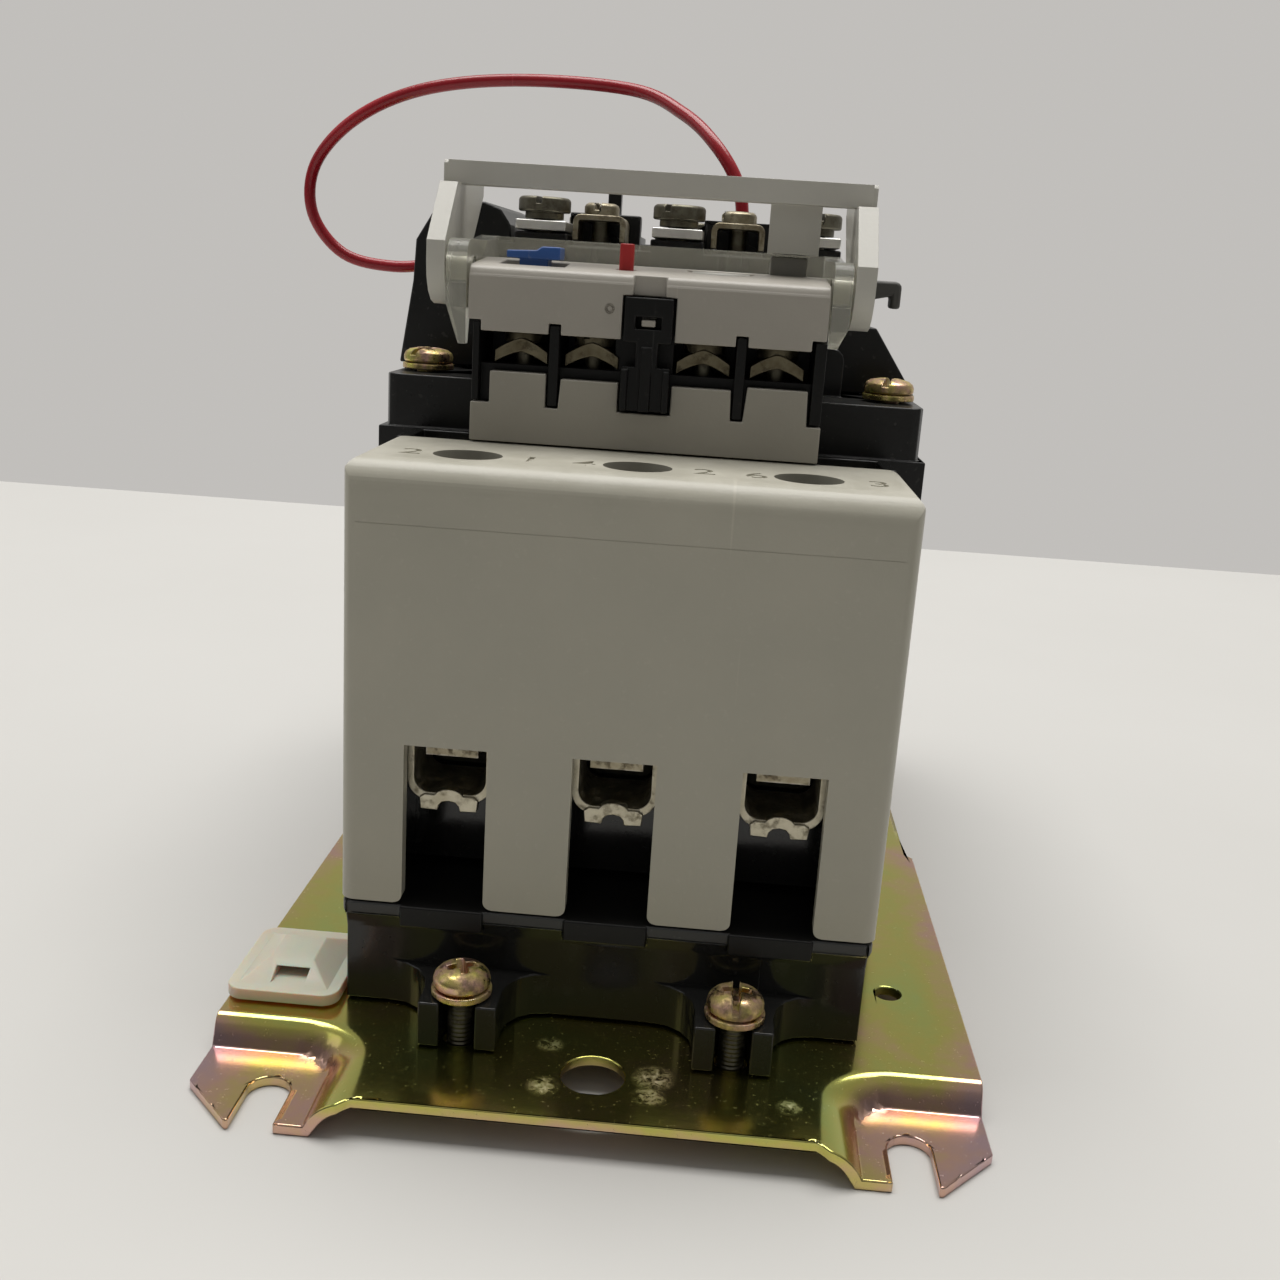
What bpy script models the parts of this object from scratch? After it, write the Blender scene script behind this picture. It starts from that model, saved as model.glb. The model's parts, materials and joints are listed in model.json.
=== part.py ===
"""Three-pole contactor with a thermal overload relay, both screwed to a zinc plated steel mounting plate.

Sizes below are in millimetres. X runs across the poles, Y from the load end (the relay) to the line end,
Z up from the surface that the plate's feet stand on. Y is counted from the front of the grey terminal
shroud and shifted by Y_SHIFT, so the origin ends up under the middle of the plate.
"""

import math

import bmesh
import bpy
from mathutils import Vector

MM = 0.001
Y_SHIFT = -69.5

# Mounting plate
PLATE_HALF_X = 56.6
PLATE_Y0, PLATE_Y1 = -25.5, 164.5
PLATE_TOP, SHEET = 5.8, 1.6
FOOT_ARC = (44.0, -14.5)  # centre of the rounded step around each foot
FOOT_LOW, FOOT_HIGH = (6.3, 6.0), (12.5, 8.5)  # half-axes of the step's lower and upper line
GAP = 0.3  # air between neighbouring pieces

# Poles
POLES = (-24.5, 0.0, 24.5)
MAIN_POLES = (-22.4, 1.4, 25.2)
COIL_X = (-12.4, 11.9)
AUX_X = (-20.0, -9.1, 8.0, 19.3)
LUG_X = (-19.9, 19.9)
LUG_SCREW_Y = -6.8
CARRIER_TRAVEL = 4.2

# Relay outline
SHROUD_X, SHROUD_Y, SHROUD_Z = 40.0, (0.0, 27.0), (23.0, 89.0)
DECK_Z = 116.8
BODY_X = (-27.2, 26.5)

MATERIALS = {
    "zinc": ((0.62, 0.58, 0.32), 1.0, 0.3),
    "brass_zinc": ((0.66, 0.55, 0.30), 1.0, 0.3),
    "steel": ((0.42, 0.38, 0.32), 1.0, 0.45),
    "tin": ((0.78, 0.78, 0.76), 1.0, 0.25),
    "copper": ((0.72, 0.42, 0.26), 1.0, 0.35),
    "core": ((0.35, 0.35, 0.37), 1.0, 0.5),
    "black": ((0.03, 0.032, 0.036), 0.0, 0.35),
    "darkgrey": ((0.12, 0.125, 0.13), 0.0, 0.45),
    "grey": ((0.56, 0.54, 0.50), 0.0, 0.5),
    "white": ((0.84, 0.83, 0.79), 0.0, 0.45),
    "nylon": ((0.78, 0.78, 0.70), 0.0, 0.5),
    "clear": ((0.86, 0.86, 0.78), 0.0, 0.15),
    "blue": ((0.03, 0.12, 0.45), 0.0, 0.4),
    "red": ((0.62, 0.03, 0.04), 0.0, 0.35),
}


def material(name):
    found = bpy.data.materials.get(name)
    if found:
        return found
    colour, metallic, roughness = MATERIALS[name]
    made = bpy.data.materials.new(name)
    made.use_nodes = True
    shader = made.node_tree.nodes["Principled BSDF"]
    shader.inputs["Base Color"].default_value = (*colour, 1.0)
    shader.inputs["Metallic"].default_value = metallic
    shader.inputs["Roughness"].default_value = roughness
    if name == "clear":
        shader.inputs["Transmission Weight"].default_value = 0.8
    made.diffuse_color = (*colour, 1.0)
    return made


def place(point):
    """Design millimetres to world metres."""
    return Vector((point[0] * MM, (point[1] + Y_SHIFT) * MM, point[2] * MM))


def finish(name, bm, slot=None):
    bmesh.ops.recalc_face_normals(bm, faces=bm.faces)
    mesh = bpy.data.meshes.new(name)
    bm.to_mesh(mesh)
    bm.free()
    obj = bpy.data.objects.new(name, mesh)
    bpy.context.scene.collection.objects.link(obj)
    if slot:
        mesh.materials.append(material(slot))
    return obj


def prism(name, axis, outline, low, high, slot=None):
    """An outline in the two other axes, in X, Y, Z order, carried along axis from low to high."""
    bm = bmesh.new()

    def at(pair, along):
        a, b = pair
        return {"X": (along, a, b), "Y": (a, along, b), "Z": (a, b, along)}[axis]

    rings = [[bm.verts.new(place(at(pair, along))) for pair in outline] for along in (low, high)]
    bm.faces.new(rings[0])
    bm.faces.new(reversed(rings[1]))
    for i in range(len(outline)):
        j = (i + 1) % len(outline)
        bm.faces.new((rings[0][j], rings[0][i], rings[1][i], rings[1][j]))
    return finish(name, bm, slot)


def box(name, xs, ys, zs, slot=None):
    return prism(name, "Z", [(xs[0], ys[0]), (xs[1], ys[0]), (xs[1], ys[1]), (xs[0], ys[1])], *zs, slot)


def circle(centre, radius, count=16, start=0.0):
    return [
        (centre[0] + radius * math.cos(start + math.tau * i / count),
         centre[1] + radius * math.sin(start + math.tau * i / count))
        for i in range(count)
    ]


def arc(centre, radius, degrees0, degrees1, count=5):
    return [
        (centre[0] + radius * math.cos(math.radians(degrees0 + (degrees1 - degrees0) * i / count)),
         centre[1] + radius * math.sin(math.radians(degrees0 + (degrees1 - degrees0) * i / count)))
        for i in range(count + 1)
    ]


def rounded(x0, x1, y0, y1, radius, count=3):
    r = radius
    return (
        arc((x0 + r, y0 + r), r, 180, 270, count) + arc((x1 - r, y0 + r), r, 270, 360, count)
        + arc((x1 - r, y1 - r), r, 0, 90, count) + arc((x0 + r, y1 - r), r, 90, 180, count)
    )


def rod(name, axis, centre, radius, low, high, slot=None, count=16):
    return prism(name, axis, circle(centre, radius, count), low, high, slot)


def lathe(name, centre, profile, slot=None, count=16):
    """A profile of (radius, z) turned about a vertical axis; its ends lie on the axis."""
    bm = bmesh.new()
    rings = []
    for radius, z in profile:
        if radius == 0:
            rings.append([bm.verts.new(place((*centre, z)))])
        else:
            rings.append([bm.verts.new(place((x, y, z))) for x, y in circle(centre, radius, count)])
    for low, high in zip(rings, rings[1:]):
        for i in range(count):
            j = (i + 1) % count
            corners = [low[i % len(low)], low[j % len(low)], high[j % len(high)], high[i % len(high)]]
            bm.faces.new(list(dict.fromkeys(corners)))
    return finish(name, bm, slot)


def combine(target, tools, operation):
    for tool in tools:
        modifier = target.modifiers.new("boolean", "BOOLEAN")
        modifier.operation = operation
        modifier.solver = "EXACT"
        modifier.object = tool
        graph = bpy.context.evaluated_depsgraph_get()
        mesh = bpy.data.meshes.new_from_object(target.evaluated_get(graph))
        target.modifiers.clear()
        target.data = mesh
        bpy.data.objects.remove(tool)
    return target


def join(target, *tools):
    return combine(target, tools, "UNION")


def cut(target, *tools):
    return combine(target, tools, "DIFFERENCE")


def common(target, *tools):
    return combine(target, tools, "INTERSECT")


def mirrored(x, side):
    """X range of a piece on the left (-1) or right (+1) side, low end first."""
    return tuple(sorted((side * x[0], side * x[1])))


# --- Mounting plate ---------------------------------------------------------------------------------
def foot_drop(x, y):
    """How far the sheet is pressed down at (x, y), from 0 on the deck to 1 on a foot."""
    y = min(y, PLATE_Y0 + PLATE_Y1 - y)
    a, b = max(FOOT_ARC[0] - abs(x), 0.0), max(y - FOOT_ARC[1], 0.0)
    inner = math.hypot(a / FOOT_LOW[0], b / FOOT_LOW[1])
    outer = math.hypot(a / FOOT_HIGH[0], b / FOOT_HIGH[1])
    if inner <= 1.0:
        return 1.0
    if outer >= 1.0:
        return 0.0
    t = (1.0 - outer) / ((1.0 - outer) + (inner - 1.0))
    return t * t * (3.0 - 2.0 * t)


def make_plate():
    half = (0.0, 30.0, 32.0, 33.5, 35.0, 36.5, 38.2, 40.5, 44.0, 50.0, PLATE_HALF_X)
    xs = [-x for x in reversed(half[1:])] + list(half)
    front = (PLATE_Y0, -20.0, -16.5, -13.5, -11.2, -9.6, -8.6, -7.6, -6.7, -5.9)
    ys = list(front) + [PLATE_Y0 + PLATE_Y1 - y for y in reversed(front)]
    bm = bmesh.new()
    layers = []
    for lift in (0.0, SHEET):
        layers.append([[bm.verts.new(place((x, y, lift + (PLATE_TOP - SHEET) * (1 - foot_drop(x, y)))))
                        for x in xs] for y in ys])
    for layer in layers:
        for row, above in zip(layer, layer[1:]):
            for i in range(len(xs) - 1):
                bm.faces.new((row[i], row[i + 1], above[i + 1], above[i]))
    rim = [(0, i) for i in range(len(xs))] + [(j, len(xs) - 1) for j in range(1, len(ys))]
    rim += [(len(ys) - 1, i) for i in range(len(xs) - 2, -1, -1)] + [(j, 0) for j in range(len(ys) - 2, 0, -1)]
    for (j0, i0), (j1, i1) in zip(rim, rim[1:] + rim[:1]):
        bm.faces.new((layers[0][j0][i0], layers[0][j1][i1], layers[1][j1][i1], layers[1][j0][i0]))
    plate = finish("mounting_plate", bm, "zinc")
    tools = []
    for end in (0, 1):
        def y_of(y):
            return PLATE_Y0 + PLATE_Y1 - y if end else y

        lip = [(-33.5, PLATE_Y0 - 2), (33.5, PLATE_Y0 - 2), (33.5, PLATE_Y0), (31.5, -24.2), (-31.5, -24.2),
               (-33.5, PLATE_Y0)]
        tools.append(prism("lip", "Z", [(x, y_of(y)) for x, y in lip], -1, 9))
        for side in (-1, 1):
            corner = [(side * 48.2, PLATE_Y0 - 0.5), (side * 60, PLATE_Y0 - 0.5), (side * 60, -13.6)]
            tools.append(prism("corner", "Z", [(x, y_of(y)) for x, y in corner], -1, 9))
            slot = [(side * 45 + 3.1, PLATE_Y0 - 2)] + arc((side * 45, -17.9), 3.1, 0, 180, 6)
            slot += [(side * 45 - 3.1, PLATE_Y0 - 2)]
            tools.append(prism("slot", "Z", [(x, y_of(y)) for x, y in slot], -1, 9))
    for side in (-1, 1):
        waist = [(55.2, 73.5), (56.6, 72.0), (58, 72.0), (58, 128.0), (56.6, 128.0), (55.2, 126.5)]
        tools.append(prism("waist", "Z", [(side * x, y) for x, y in waist], -1, 9))
        tools.append(rod("hole", "Z", (LUG_X[side > 0], LUG_SCREW_Y), 2.4, -1, 9, count=12))
    tools.append(rod("hole", "Z", (0.4, -13.5), 4.6, -1, 9, count=20))
    tools.append(rod("hole", "Z", (45.4, 17.0), 2.1, -1, 9, count=12))
    tools.append(rod("hole", "Z", (0.0, 158.0), 4.6, -1, 9, count=16))
    return cut(plate, *tools)


def make_tie_mount():
    x0, x1, y0, y1 = -57.0, -39.6, -2.9, 17.2
    base = PLATE_TOP + GAP
    mount = prism("tie_mount", "Z", rounded(x0, x1, y0, y1, 2.5), base, base + 1.9, "nylon")
    mid_x, mid_y = (x0 + x1) / 2, (y0 + y1) / 2
    bm = bmesh.new()
    rings = [[bm.verts.new(place((mid_x + a * w, mid_y + b * d, z))) for a, b in ((-1, -1), (1, -1), (1, 1), (-1, 1))]
             for w, d, z in ((6.6, 7.8, base + 1.0), (3.2, 3.6, base + 4.4))]
    bm.faces.new(rings[0])
    bm.faces.new(rings[1])
    for i in range(4):
        j = (i + 1) % 4
        bm.faces.new((rings[0][i], rings[0][j], rings[1][j], rings[1][i]))
    join(mount, finish("hump", bm))
    tunnel = (mid_x - 2.0, mid_x + 3.2)
    return cut(mount, box("tunnel", tunnel, (y0 - 1, y1 + 1), (base + 1.95, base + 3.5)))


# --- Overload relay -----------------------------------------------------------------------------------
def make_relay_base():
    lug, front, wall, fillet = 5.7, -10.5, 0.9, 6.5
    outline = [(-39.0, wall)]
    for x in LUG_X:
        outline += arc((x - lug - fillet, wall - fillet), fillet, 90, 0, 4)
        outline += [(x - lug, front), (x - 2.6, front)] + arc((x, LUG_SCREW_Y), 2.6, 180, 0, 5)
        outline += [(x + 2.6, front), (x + lug, front)]
        outline += arc((x + lug + fillet, wall - fillet), fillet, 180, 90, 4)
    outline += [(39.0, wall), (39.0, 39.0), (-39.0, 39.0)]
    base = prism("relay_base", "Z", outline, PLATE_TOP + GAP, 13.0, "black")
    side = [(wall, 12.0), (39.0, 12.0), (39.0, 22.7), (0.0, 22.7), (0.0, 20.7), (wall, 18.2)]
    join(base, prism("wall", "X", side, -39.0, 39.0))
    join(base, prism("rim", "Z", rounded(-39.6, 39.6, -0.2, 26.8, 1.2, 2), 20.9, 22.7))
    for x in POLES:
        join(base, prism("tab", "X", [(-0.6, 19.4), (1.5, 19.4), (1.5, 22.7), (-0.6, 22.7)], x - 6.2, x + 6.2))
    cut(base, box("pocket", (-34, 34), (6, 35), (5, 19)))
    return base


def make_relay_screw(name, x, cross):
    z = 13.3
    profile = [(0, 2.4), (2.0, 2.4), (2.0, z), (4.4, z), (4.4, z + 0.9), (4.1, z + 1.0), (4.15, z + 2.3),
               (3.4, z + 3.4), (1.8, z + 4.1), (0, z + 4.3)]
    screw = lathe(name, (x, LUG_SCREW_Y), profile, "brass_zinc", 20)
    wide = (x - 3.2, x + 3.2), (LUG_SCREW_Y - 0.5, LUG_SCREW_Y + 0.5)
    tall = (x - 0.5, x + 0.5), (LUG_SCREW_Y - 4.6, LUG_SCREW_Y + 4.6)
    blades = [box("recess", *wide, (z + 2.6, z + 6)), box("recess", *tall, (z + 2.6, z + 6))]
    return cut(screw, *blades) if cross else cut(screw, *blades[1:], *blades[:1])


def make_shroud():
    x, (y0, y1), (z0, z1) = SHROUD_X, SHROUD_Y, SHROUD_Z
    side = [(y1, z0), (y0, z0)] + [(y, z) for y, z in arc((y0 + 4.5, z1 - 4.5), 4.5, 180, 90, 5)] + [(y1, z1)]
    shroud = prism("terminal_shroud", "X", side, -x, x, "grey")
    front = [(-x, z0), (x, z0)] + arc((x - 2.5, z1 - 2.5), 2.5, 0, 90, 3) + arc((-x + 2.5, z1 - 2.5), 2.5, 90, 180, 3)
    common(shroud, prism("front", "Y", front, -5, 40))
    common(shroud, prism("plan", "Z", arc((-x + 2.2, y0 + 2.2), 2.2, 180, 270, 3)
                         + arc((x - 2.2, y0 + 2.2), 2.2, 270, 360, 3) + [(x, 40), (-x, 40)], 0, 100))
    cut(shroud, box("inside", (-x + 2.2, x - 2.2), (y0 + 2.4, 40), (z0 - 5, z1 - 2.4)))
    for pole in POLES:
        cut(shroud, prism("mouth", "Y", [(pole - 7.2, z0 - 1), (pole + 7.2, z0 - 1), (pole + 7.0, z0 + 0.01),
                                         (pole + 6.2, z0 + 1.0), (pole + 6.1, 48), (pole - 6.1, 48),
                                         (pole - 6.2, z0 + 1.0), (pole - 7.0, z0 + 0.01)], -2, 5))
        cut(shroud, rod("driver_hole", "Z", (pole, 10.8), 5.0, z1 - 8, z1 + 5, count=20))
    return shroud


def make_relay_housing():
    low, high = SHROUD_Z[0] + 0.3, 86.2
    outline = [(-37.4, 2.9), (-32.2, 2.9), (-32.2, 16.5), (-16.8, 16.5), (-16.8, 2.9), (-7.7, 2.9), (-7.7, 16.5),
               (7.7, 16.5), (7.7, 2.9), (16.8, 2.9), (16.8, 16.5), (32.2, 16.5), (32.2, 2.9), (37.4, 2.9),
               (37.4, 27.4), (38.9, 27.4), (38.9, 39.5), (-38.9, 39.5), (-38.9, 27.4), (-37.4, 27.4)]
    housing = prism("relay_housing", "Z", outline, low, high, "black")
    for side in (-1, 1):
        join(housing, box("rail", mirrored((36.9, 38.9), side), (27.4, 39.5), (80, 88.9)))
    join(housing, box("back", (-38, 38), (37.6, 39.5), (80, 88.9)))
    cut(housing, box("cavity", (-34, 34), (19, 35.5), (40, 95)))
    for pole in POLES:
        cut(housing, box("tongue_slot", (pole - 4.3, pole + 4.3), (15, 22), (44.6, 46.6)))
    return housing


def make_clamp(i, x):
    y0, y1 = 3.2, 15.6
    outer = [(x - 6.4, 48.4)] + arc((x - 3.4, 40.4), 3.0, 180, 260, 4)
    outer += [(x - 2.8, 37.0), (x - 1.4, 37.6), (x + 1.4, 37.6), (x + 2.8, 37.0)]
    outer += arc((x + 3.4, 40.4), 3.0, 280, 360, 4) + [(x + 6.4, 48.4)]
    inner = [(x - 5.2, 46.6)] + arc((x - 2.9, 41.2), 2.3, 180, 260, 3) + [(x - 1.6, 39.6), (x + 1.6, 39.6)]
    inner += arc((x + 2.9, 41.2), 2.3, 280, 360, 3) + [(x + 5.2, 46.6)]
    clamp = prism(f"load_clamp_{i}", "Y", outer, y0, y1, "steel")
    cut(clamp, prism("wire_way", "Y", inner, y0 - 1, y1 + 1))
    return cut(clamp, rod("thread", "Z", (x, 10.8), 2.7, 45, 50, count=12))


def make_load_screw(i, x):
    profile = [(0, 44.1), (1.7, 44.1), (2.4, 44.8), (2.4, 56.0), (4.2, 56.0), (4.2, 60.2), (3.8, 60.6), (0, 60.6)]
    screw = lathe(f"load_screw_{i}", (x, 10.8), profile, "brass_zinc", 12)
    return cut(screw, box("slot", (x - 5, x + 5), (10.3, 11.3), (59.0, 62)))


def make_heater(i, x):
    """Terminal tongue that runs back through the housing, and the bimetal strip that stands on it."""
    side = [(5.0, 45.0), (24.0, 45.0), (24.0, 80.0), (22.9, 80.0), (22.9, 46.2), (5.0, 46.2)]
    strip = prism(f"heater_{i}", "X", side, x - 3.9, x + 3.9, "copper")
    return cut(strip, rod("hole", "Z", (x, 10.8), 2.8, 40, 50, count=12))


def make_trip_slider():
    bar = box("trip_slider", (-31.0, 28), (28.5, 30.7), (75, 79), "nylon")
    for x in POLES:
        join(bar, box("finger", (x - 6.0, x - 4.4), (21.5, 30), (75, 79)))
    return bar


def make_relay_body():
    x0, x1 = BODY_X
    steps = [(x0, 89.3), (x1, 89.3), (x1, 94.7), (24.3, 94.7), (24.1, 100), (15.0, 100), (14.6, 94.8), (12.7, 94.8),
             (12.5, 99.4), (3.5, 99.4), (3.5, 95.0), (-4.6, 95.0), (-4.6, 99.4), (-13.4, 99.4), (-13.7, 94.9),
             (-15.7, 94.9), (-15.7, 100.0), (-24.3, 100.0), (-24.3, 95.2), (x0, 95.2)]
    body = prism("relay_body", "Y", steps, 25.7, 28.0, "grey")
    join(body, box("floor", (x0, x1), (27.0, 37.2), (89.3, 91.2)))
    return body


def make_aux_block():
    x0, x1 = BODY_X[0] + 0.1, BODY_X[1] - 0.1
    block = prism("aux_block", "X", [(28.3, 91.5), (37.2, 91.5), (37.2, 98.2), (39.8, 98.2), (52, 98.2), (52, 101),
                                     (28.3, 101)], x0, x1, "black")
    for xs, low in (((x0, -26.1), 95.5), ((24.7, x1), 95.0), ((-15.4, -13.9), 95.2), ((12.9, 14.4), 95.1)):
        join(block, box("divider", xs, (26.0, 39.8), (low, 107.2)), box("divider_end", xs, (39.0, 50.0), (98.4, 107.2)))
    join(block, box("back", (x0, x1), (38.0, 40.0), (100, 107.2)))
    for x in AUX_X:
        cut(block, rod("thread", "Z", (x, 32.4), 1.9, 94, 103, count=10))
    return block


def make_aux_terminal(i, x):
    """Terminal screw with the arched saddle that it carries."""
    y, half = 32.4, 4.3
    arch = [(x - half, 102.5), (x - half, 101.6), (x - 2.4, 102.6), (x, 103.6), (x + 2.4, 102.6), (x + half, 101.6),
            (x + half, 102.5), (x + 2.4, 103.7), (x, 104.8), (x - 2.4, 103.7)]
    saddle = prism(f"aux_terminal_{i}", "Y", arch, 28.6, 36.4, "steel")
    profile = [(0, 96.0), (1.6, 96.0), (1.6, 104.2), (3.2, 104.2), (3.2, 105.7), (2.6, 106.6), (0, 106.9)]
    return join(saddle, lathe("screw", (x, y), profile, None, 12))


def make_latch():
    latch = box("latch", (-4.2, 3.1), (25.2, 27.3), (95.4, 112.2), "black")
    cut(latch, box("window", (-2.5, 1.4), (22, 29), (107.6, 109.4)))
    cut(latch, box("waist_l", (-5, -2.2), (22, 29), (102.0, 105.6)), box("waist_r", (1.1, 4), (22, 29), (102.0, 105.6)))
    for xs in ((-4.2, -3.2), (2.1, 3.1)):
        join(latch, box("rib", xs, (24.4, 25.8), (95.4, 101.6)))
    join(latch, box("thumb_rib", (-1.4, 0.3), (24.6, 25.8), (95.4, 105.0)))
    return latch


def make_top_cover():
    x0, x1 = -27.9, 26.2
    side = [(25.7, 105.9), (52.0, 105.9), (52.0, DECK_Z), (40.0, DECK_Z - 0.1)]
    side += arc((27.3, 114.15), 1.4, 90, 180, 3) + [(25.7, 114.0)]
    cover = prism("top_cover", "X", side, x0, x1, "grey")
    cut(cover, box("inside", (x0 + 2, x1 - 2), (27.7, 50.2), (100, 113.2)))
    notches = [((x0 - 1, -25.9), 107.5), ((24.1, x1 + 1), 107.5), ((-15.6, -13.7), 107.5), ((12.7, 14.6), 107.5)]
    for xs, high in notches:
        cut(cover, box("notch", xs, (24, 54), (100, high)))
    cut(cover, box("latch_bay", (-4.6, 3.5), (24, 30), (100, 112.4)), box("thumb_bay", (-3.1, 1.8), (24, 26.7), (110, 118)))
    cut(cover, box("rear_skirt", (-24, 24), (48, 54), (100, 107.4)))
    join(cover, box("tooth", (-1.6, 0.5), (25.4, 28.6), (108.0, 109.0)), box("tooth_arm", (-1.6, 0.5), (27.7, 28.8), (108.0, 114)))
    cut(cover, box("button_slot", (-21.6, -16.6), (31.4, 36.6), (110, 118)))
    cut(cover, box("button_well", (-24.2, -14.2), (30.2, 37.8), (115.0, 118)))
    cut(cover, rod("pin_hole", "Z", (-4.9, 33.0), 1.6, 110, 118, count=12))
    cut(cover, rod("dial_hole", "Z", (9.6, 38.6), 5.3, 110, 118, count=20))
    cut(cover, box("stop_hole", (16.8, 23.6), (40.2, 47.0), (110, 118)))
    return cover


def make_reset_button():
    top = [(-23.2, 116.8), (-15.0, 116.8), (-15.0, 118.7), (-17.8, 118.7), (-18.6, 118.1), (-23.2, 117.9)]
    button = prism("reset_button", "Y", top, 31.0, 37.0, "blue")
    join(button, box("stem", (-21.3, -16.9), (31.7, 36.3), (108.6, 117.2)))
    return join(button, box("collar", (-22.3, -15.9), (30.7, 37.3), (108.6, 110.6)))


def make_trip_pin():
    pin = prism("trip_pin", "Z", rounded(-6.0, -3.8, 31.9, 34.1, 0.4, 1), 108.4, 119.9, "red")
    return join(pin, rod("collar", "Z", (-4.9, 33.0), 2.4, 108.4, 110.4, count=12))


def make_stop_button():
    button = box("stop_button", (17.3, 23.1), (40.7, 46.5), (108.6, 119.6), "darkgrey")
    return join(button, box("collar", (16.0, 23.9), (39.6, 47.6), (108.6, 110.6)))


def make_dial():
    dial = lathe("current_dial", (9.6, 38.6), [(0, 109), (5.8, 109), (5.8, 111), (4.9, 111.0), (4.9, 116.1),
                                                (4.5, 116.5), (0, 116.5)], "white", 20)
    return cut(dial, box("slot", (5.6, 13.6), (38.1, 39.1), (115.3, 118)))


def make_clear_guard():
    ears = {(-31.4, -28.3): 103.7, (26.5, 29.3): 106.5}
    parts = []
    for xs, tip in ears.items():
        side = [(25.7, 113.5), (26.2, tip), (28.0, tip), (29.5, 109.0), (54.6, 108.5), (54.6, 120.3), (45.0, 119.3)]
        side += arc((28.9, 115.9), 3.2, 90, 180, 4)
        parts.append(prism("clear_guard", "X", side, *xs, "clear"))
        edge, narrow, out = (xs[0], xs[1] - 1.0, -1) if xs[0] < 0 else (xs[1], xs[0] + 1.2, 1)
        taper = [(edge, 109.6), (narrow, tip - 0.4), (narrow, tip - 3), (edge + 4 * out, tip - 3), (edge + 4 * out, 109.6)]
        cut(parts[-1], prism("taper", "Y", taper if out < 0 else taper[::-1], 22, 33))
    guard = join(parts[0], box("wall", (-31.0, 29.0), (52.8, 54.2), (108.6, 120.2)))
    join(guard, parts[1])
    for x in (-15.6, -11.8, 9.6, 13.4):
        join(guard, box("rib", (x - 0.6, x + 0.6), (52.3, 53.2), (115.4, 119.4)))
    for xs in ears:
        cut(guard, rod("pivot_hole", "X", (32.4, 114.6), 2.08, xs[0] - 1, xs[1] + 1, count=16))
    return guard


def make_bail():
    side = arc((32.4, 115.6), 6.4, 180, 290, 5) + [(50.0, 120.3), (57.2, 126.6), (57.2, 130.9), (38.0, 130.9),
                                                  (26.0, 118.6)]
    arms = [prism("reset_bail", "X", side, *xs, "white") for xs in ((-34.5, -31.7), (29.7, 32.7))]
    bail = join(arms[0], box("bar", (-34.2, 32.4), (38.4, 41.6), (127.6, 130.8)))
    join(bail, arms[1])
    join(bail, box("tab", (16.6, 24.6), (39.4, 41.0), (120.0, 128.4)), box("foot", (17.4, 23.0), (39.4, 45.6), (120.0, 121.6)))
    join(bail, rod("pin", "X", (32.4, 114.6), 2.0, -32.5, -28.6), rod("pin", "X", (32.4, 114.6), 2.0, 26.8, 30.5))
    return bail


# --- Contactor ----------------------------------------------------------------------------------------
def make_contactor_base():
    base = box("contactor_base", (-45, 45), (40, 152), (PLATE_TOP + GAP, 88.9), "black")
    join(base, prism("flange", "Z", rounded(-44, 44, 40.4, 151.6, 2.0, 2), 80, 97.4))
    join(base, prism("wing", "Y", [(-30.2, 90), (31.4, 90)] + arc((29.4, 103.4), 2.0, 0, 90, 3)
                     + arc((-28.2, 103.4), 2.0, 90, 180, 3), 53.2, 59.6))
    cut(base, box("cavity", (-36, 36), (60, 144), (12.5, 110)))
    for side in (-1, 1):
        cut(base, rod("thread", "Z", (side * 39, 50), 2.3, 84, 110, count=12))
    return base


def make_contactor_top():
    profile = [(-30.2, 97.7), (45.0, 97.7), (37.2, 109), (31.0, 109), (31.0, 119.5), (-30.2, 119.5)]
    top = prism("contactor_top", "Y", profile, 62.0, 150.0, "black")
    join(top, prism("rear_left", "Y", [(-45.0, 97.7), (-29.0, 97.7), (-29.0, 109), (-37.5, 109)], 106.0, 150.0))
    for x in MAIN_POLES:
        for ys in ((62.0, 73.9), (136.1, 150.0)):
            join(top, box("seat", (x - 4.6, x + 4.6), ys, (118, 121.5)))
    for x in COIL_X:
        join(top, box("barrier", (x - 6.2, x + 6.6), (73.0, 77.0), (118, 125.6)))
        join(top, box("stand", (x - 4.4, x + 4.4), (62.6, 73.5), (118, 120.3)))
    join(top, box("post", (-12.2, -9.8), (76.5, 79.5), (118, 129.6)))
    join(top, box("chamber", (-24, 25), (84, 130), (118, 121.0)))
    for x in (-30.2, -11.3, 12.5):
        join(top, box("barrier", (x, x + 1.8), (131.0, 150.0), (118, 123.6)))
    cut(top, box("cavity", (-27, 28), (70.0, 144), (90, 116.4)))
    cut(top, box("carrier_bay", (-29.0, 32.2), (88, 102), (90, 106.5)))
    for x in MAIN_POLES:
        cut(top, rod("thread", "Z", (x, 66.4), 2.2, 105, 125, count=10))
        cut(top, rod("thread", "Z", (x, 143.6), 2.2, 105, 125, count=10))
        cut(top, box("way", (x - 4.7, x + 4.7), (71.6, 74.4), (90, 125)))
        cut(top, box("way", (x - 4.7, x + 4.7), (135.6, 138.4), (90, 125)))
    for x in COIL_X:
        cut(top, rod("thread", "Z", (x, 67.8), 2.0, 108, 125, count=10))
    cut(top, rod("wire_entry", "Z", (COIL_X[1] + 0.6, 75.0), 1.6, 119.6, 127, count=12))
    return top


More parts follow.
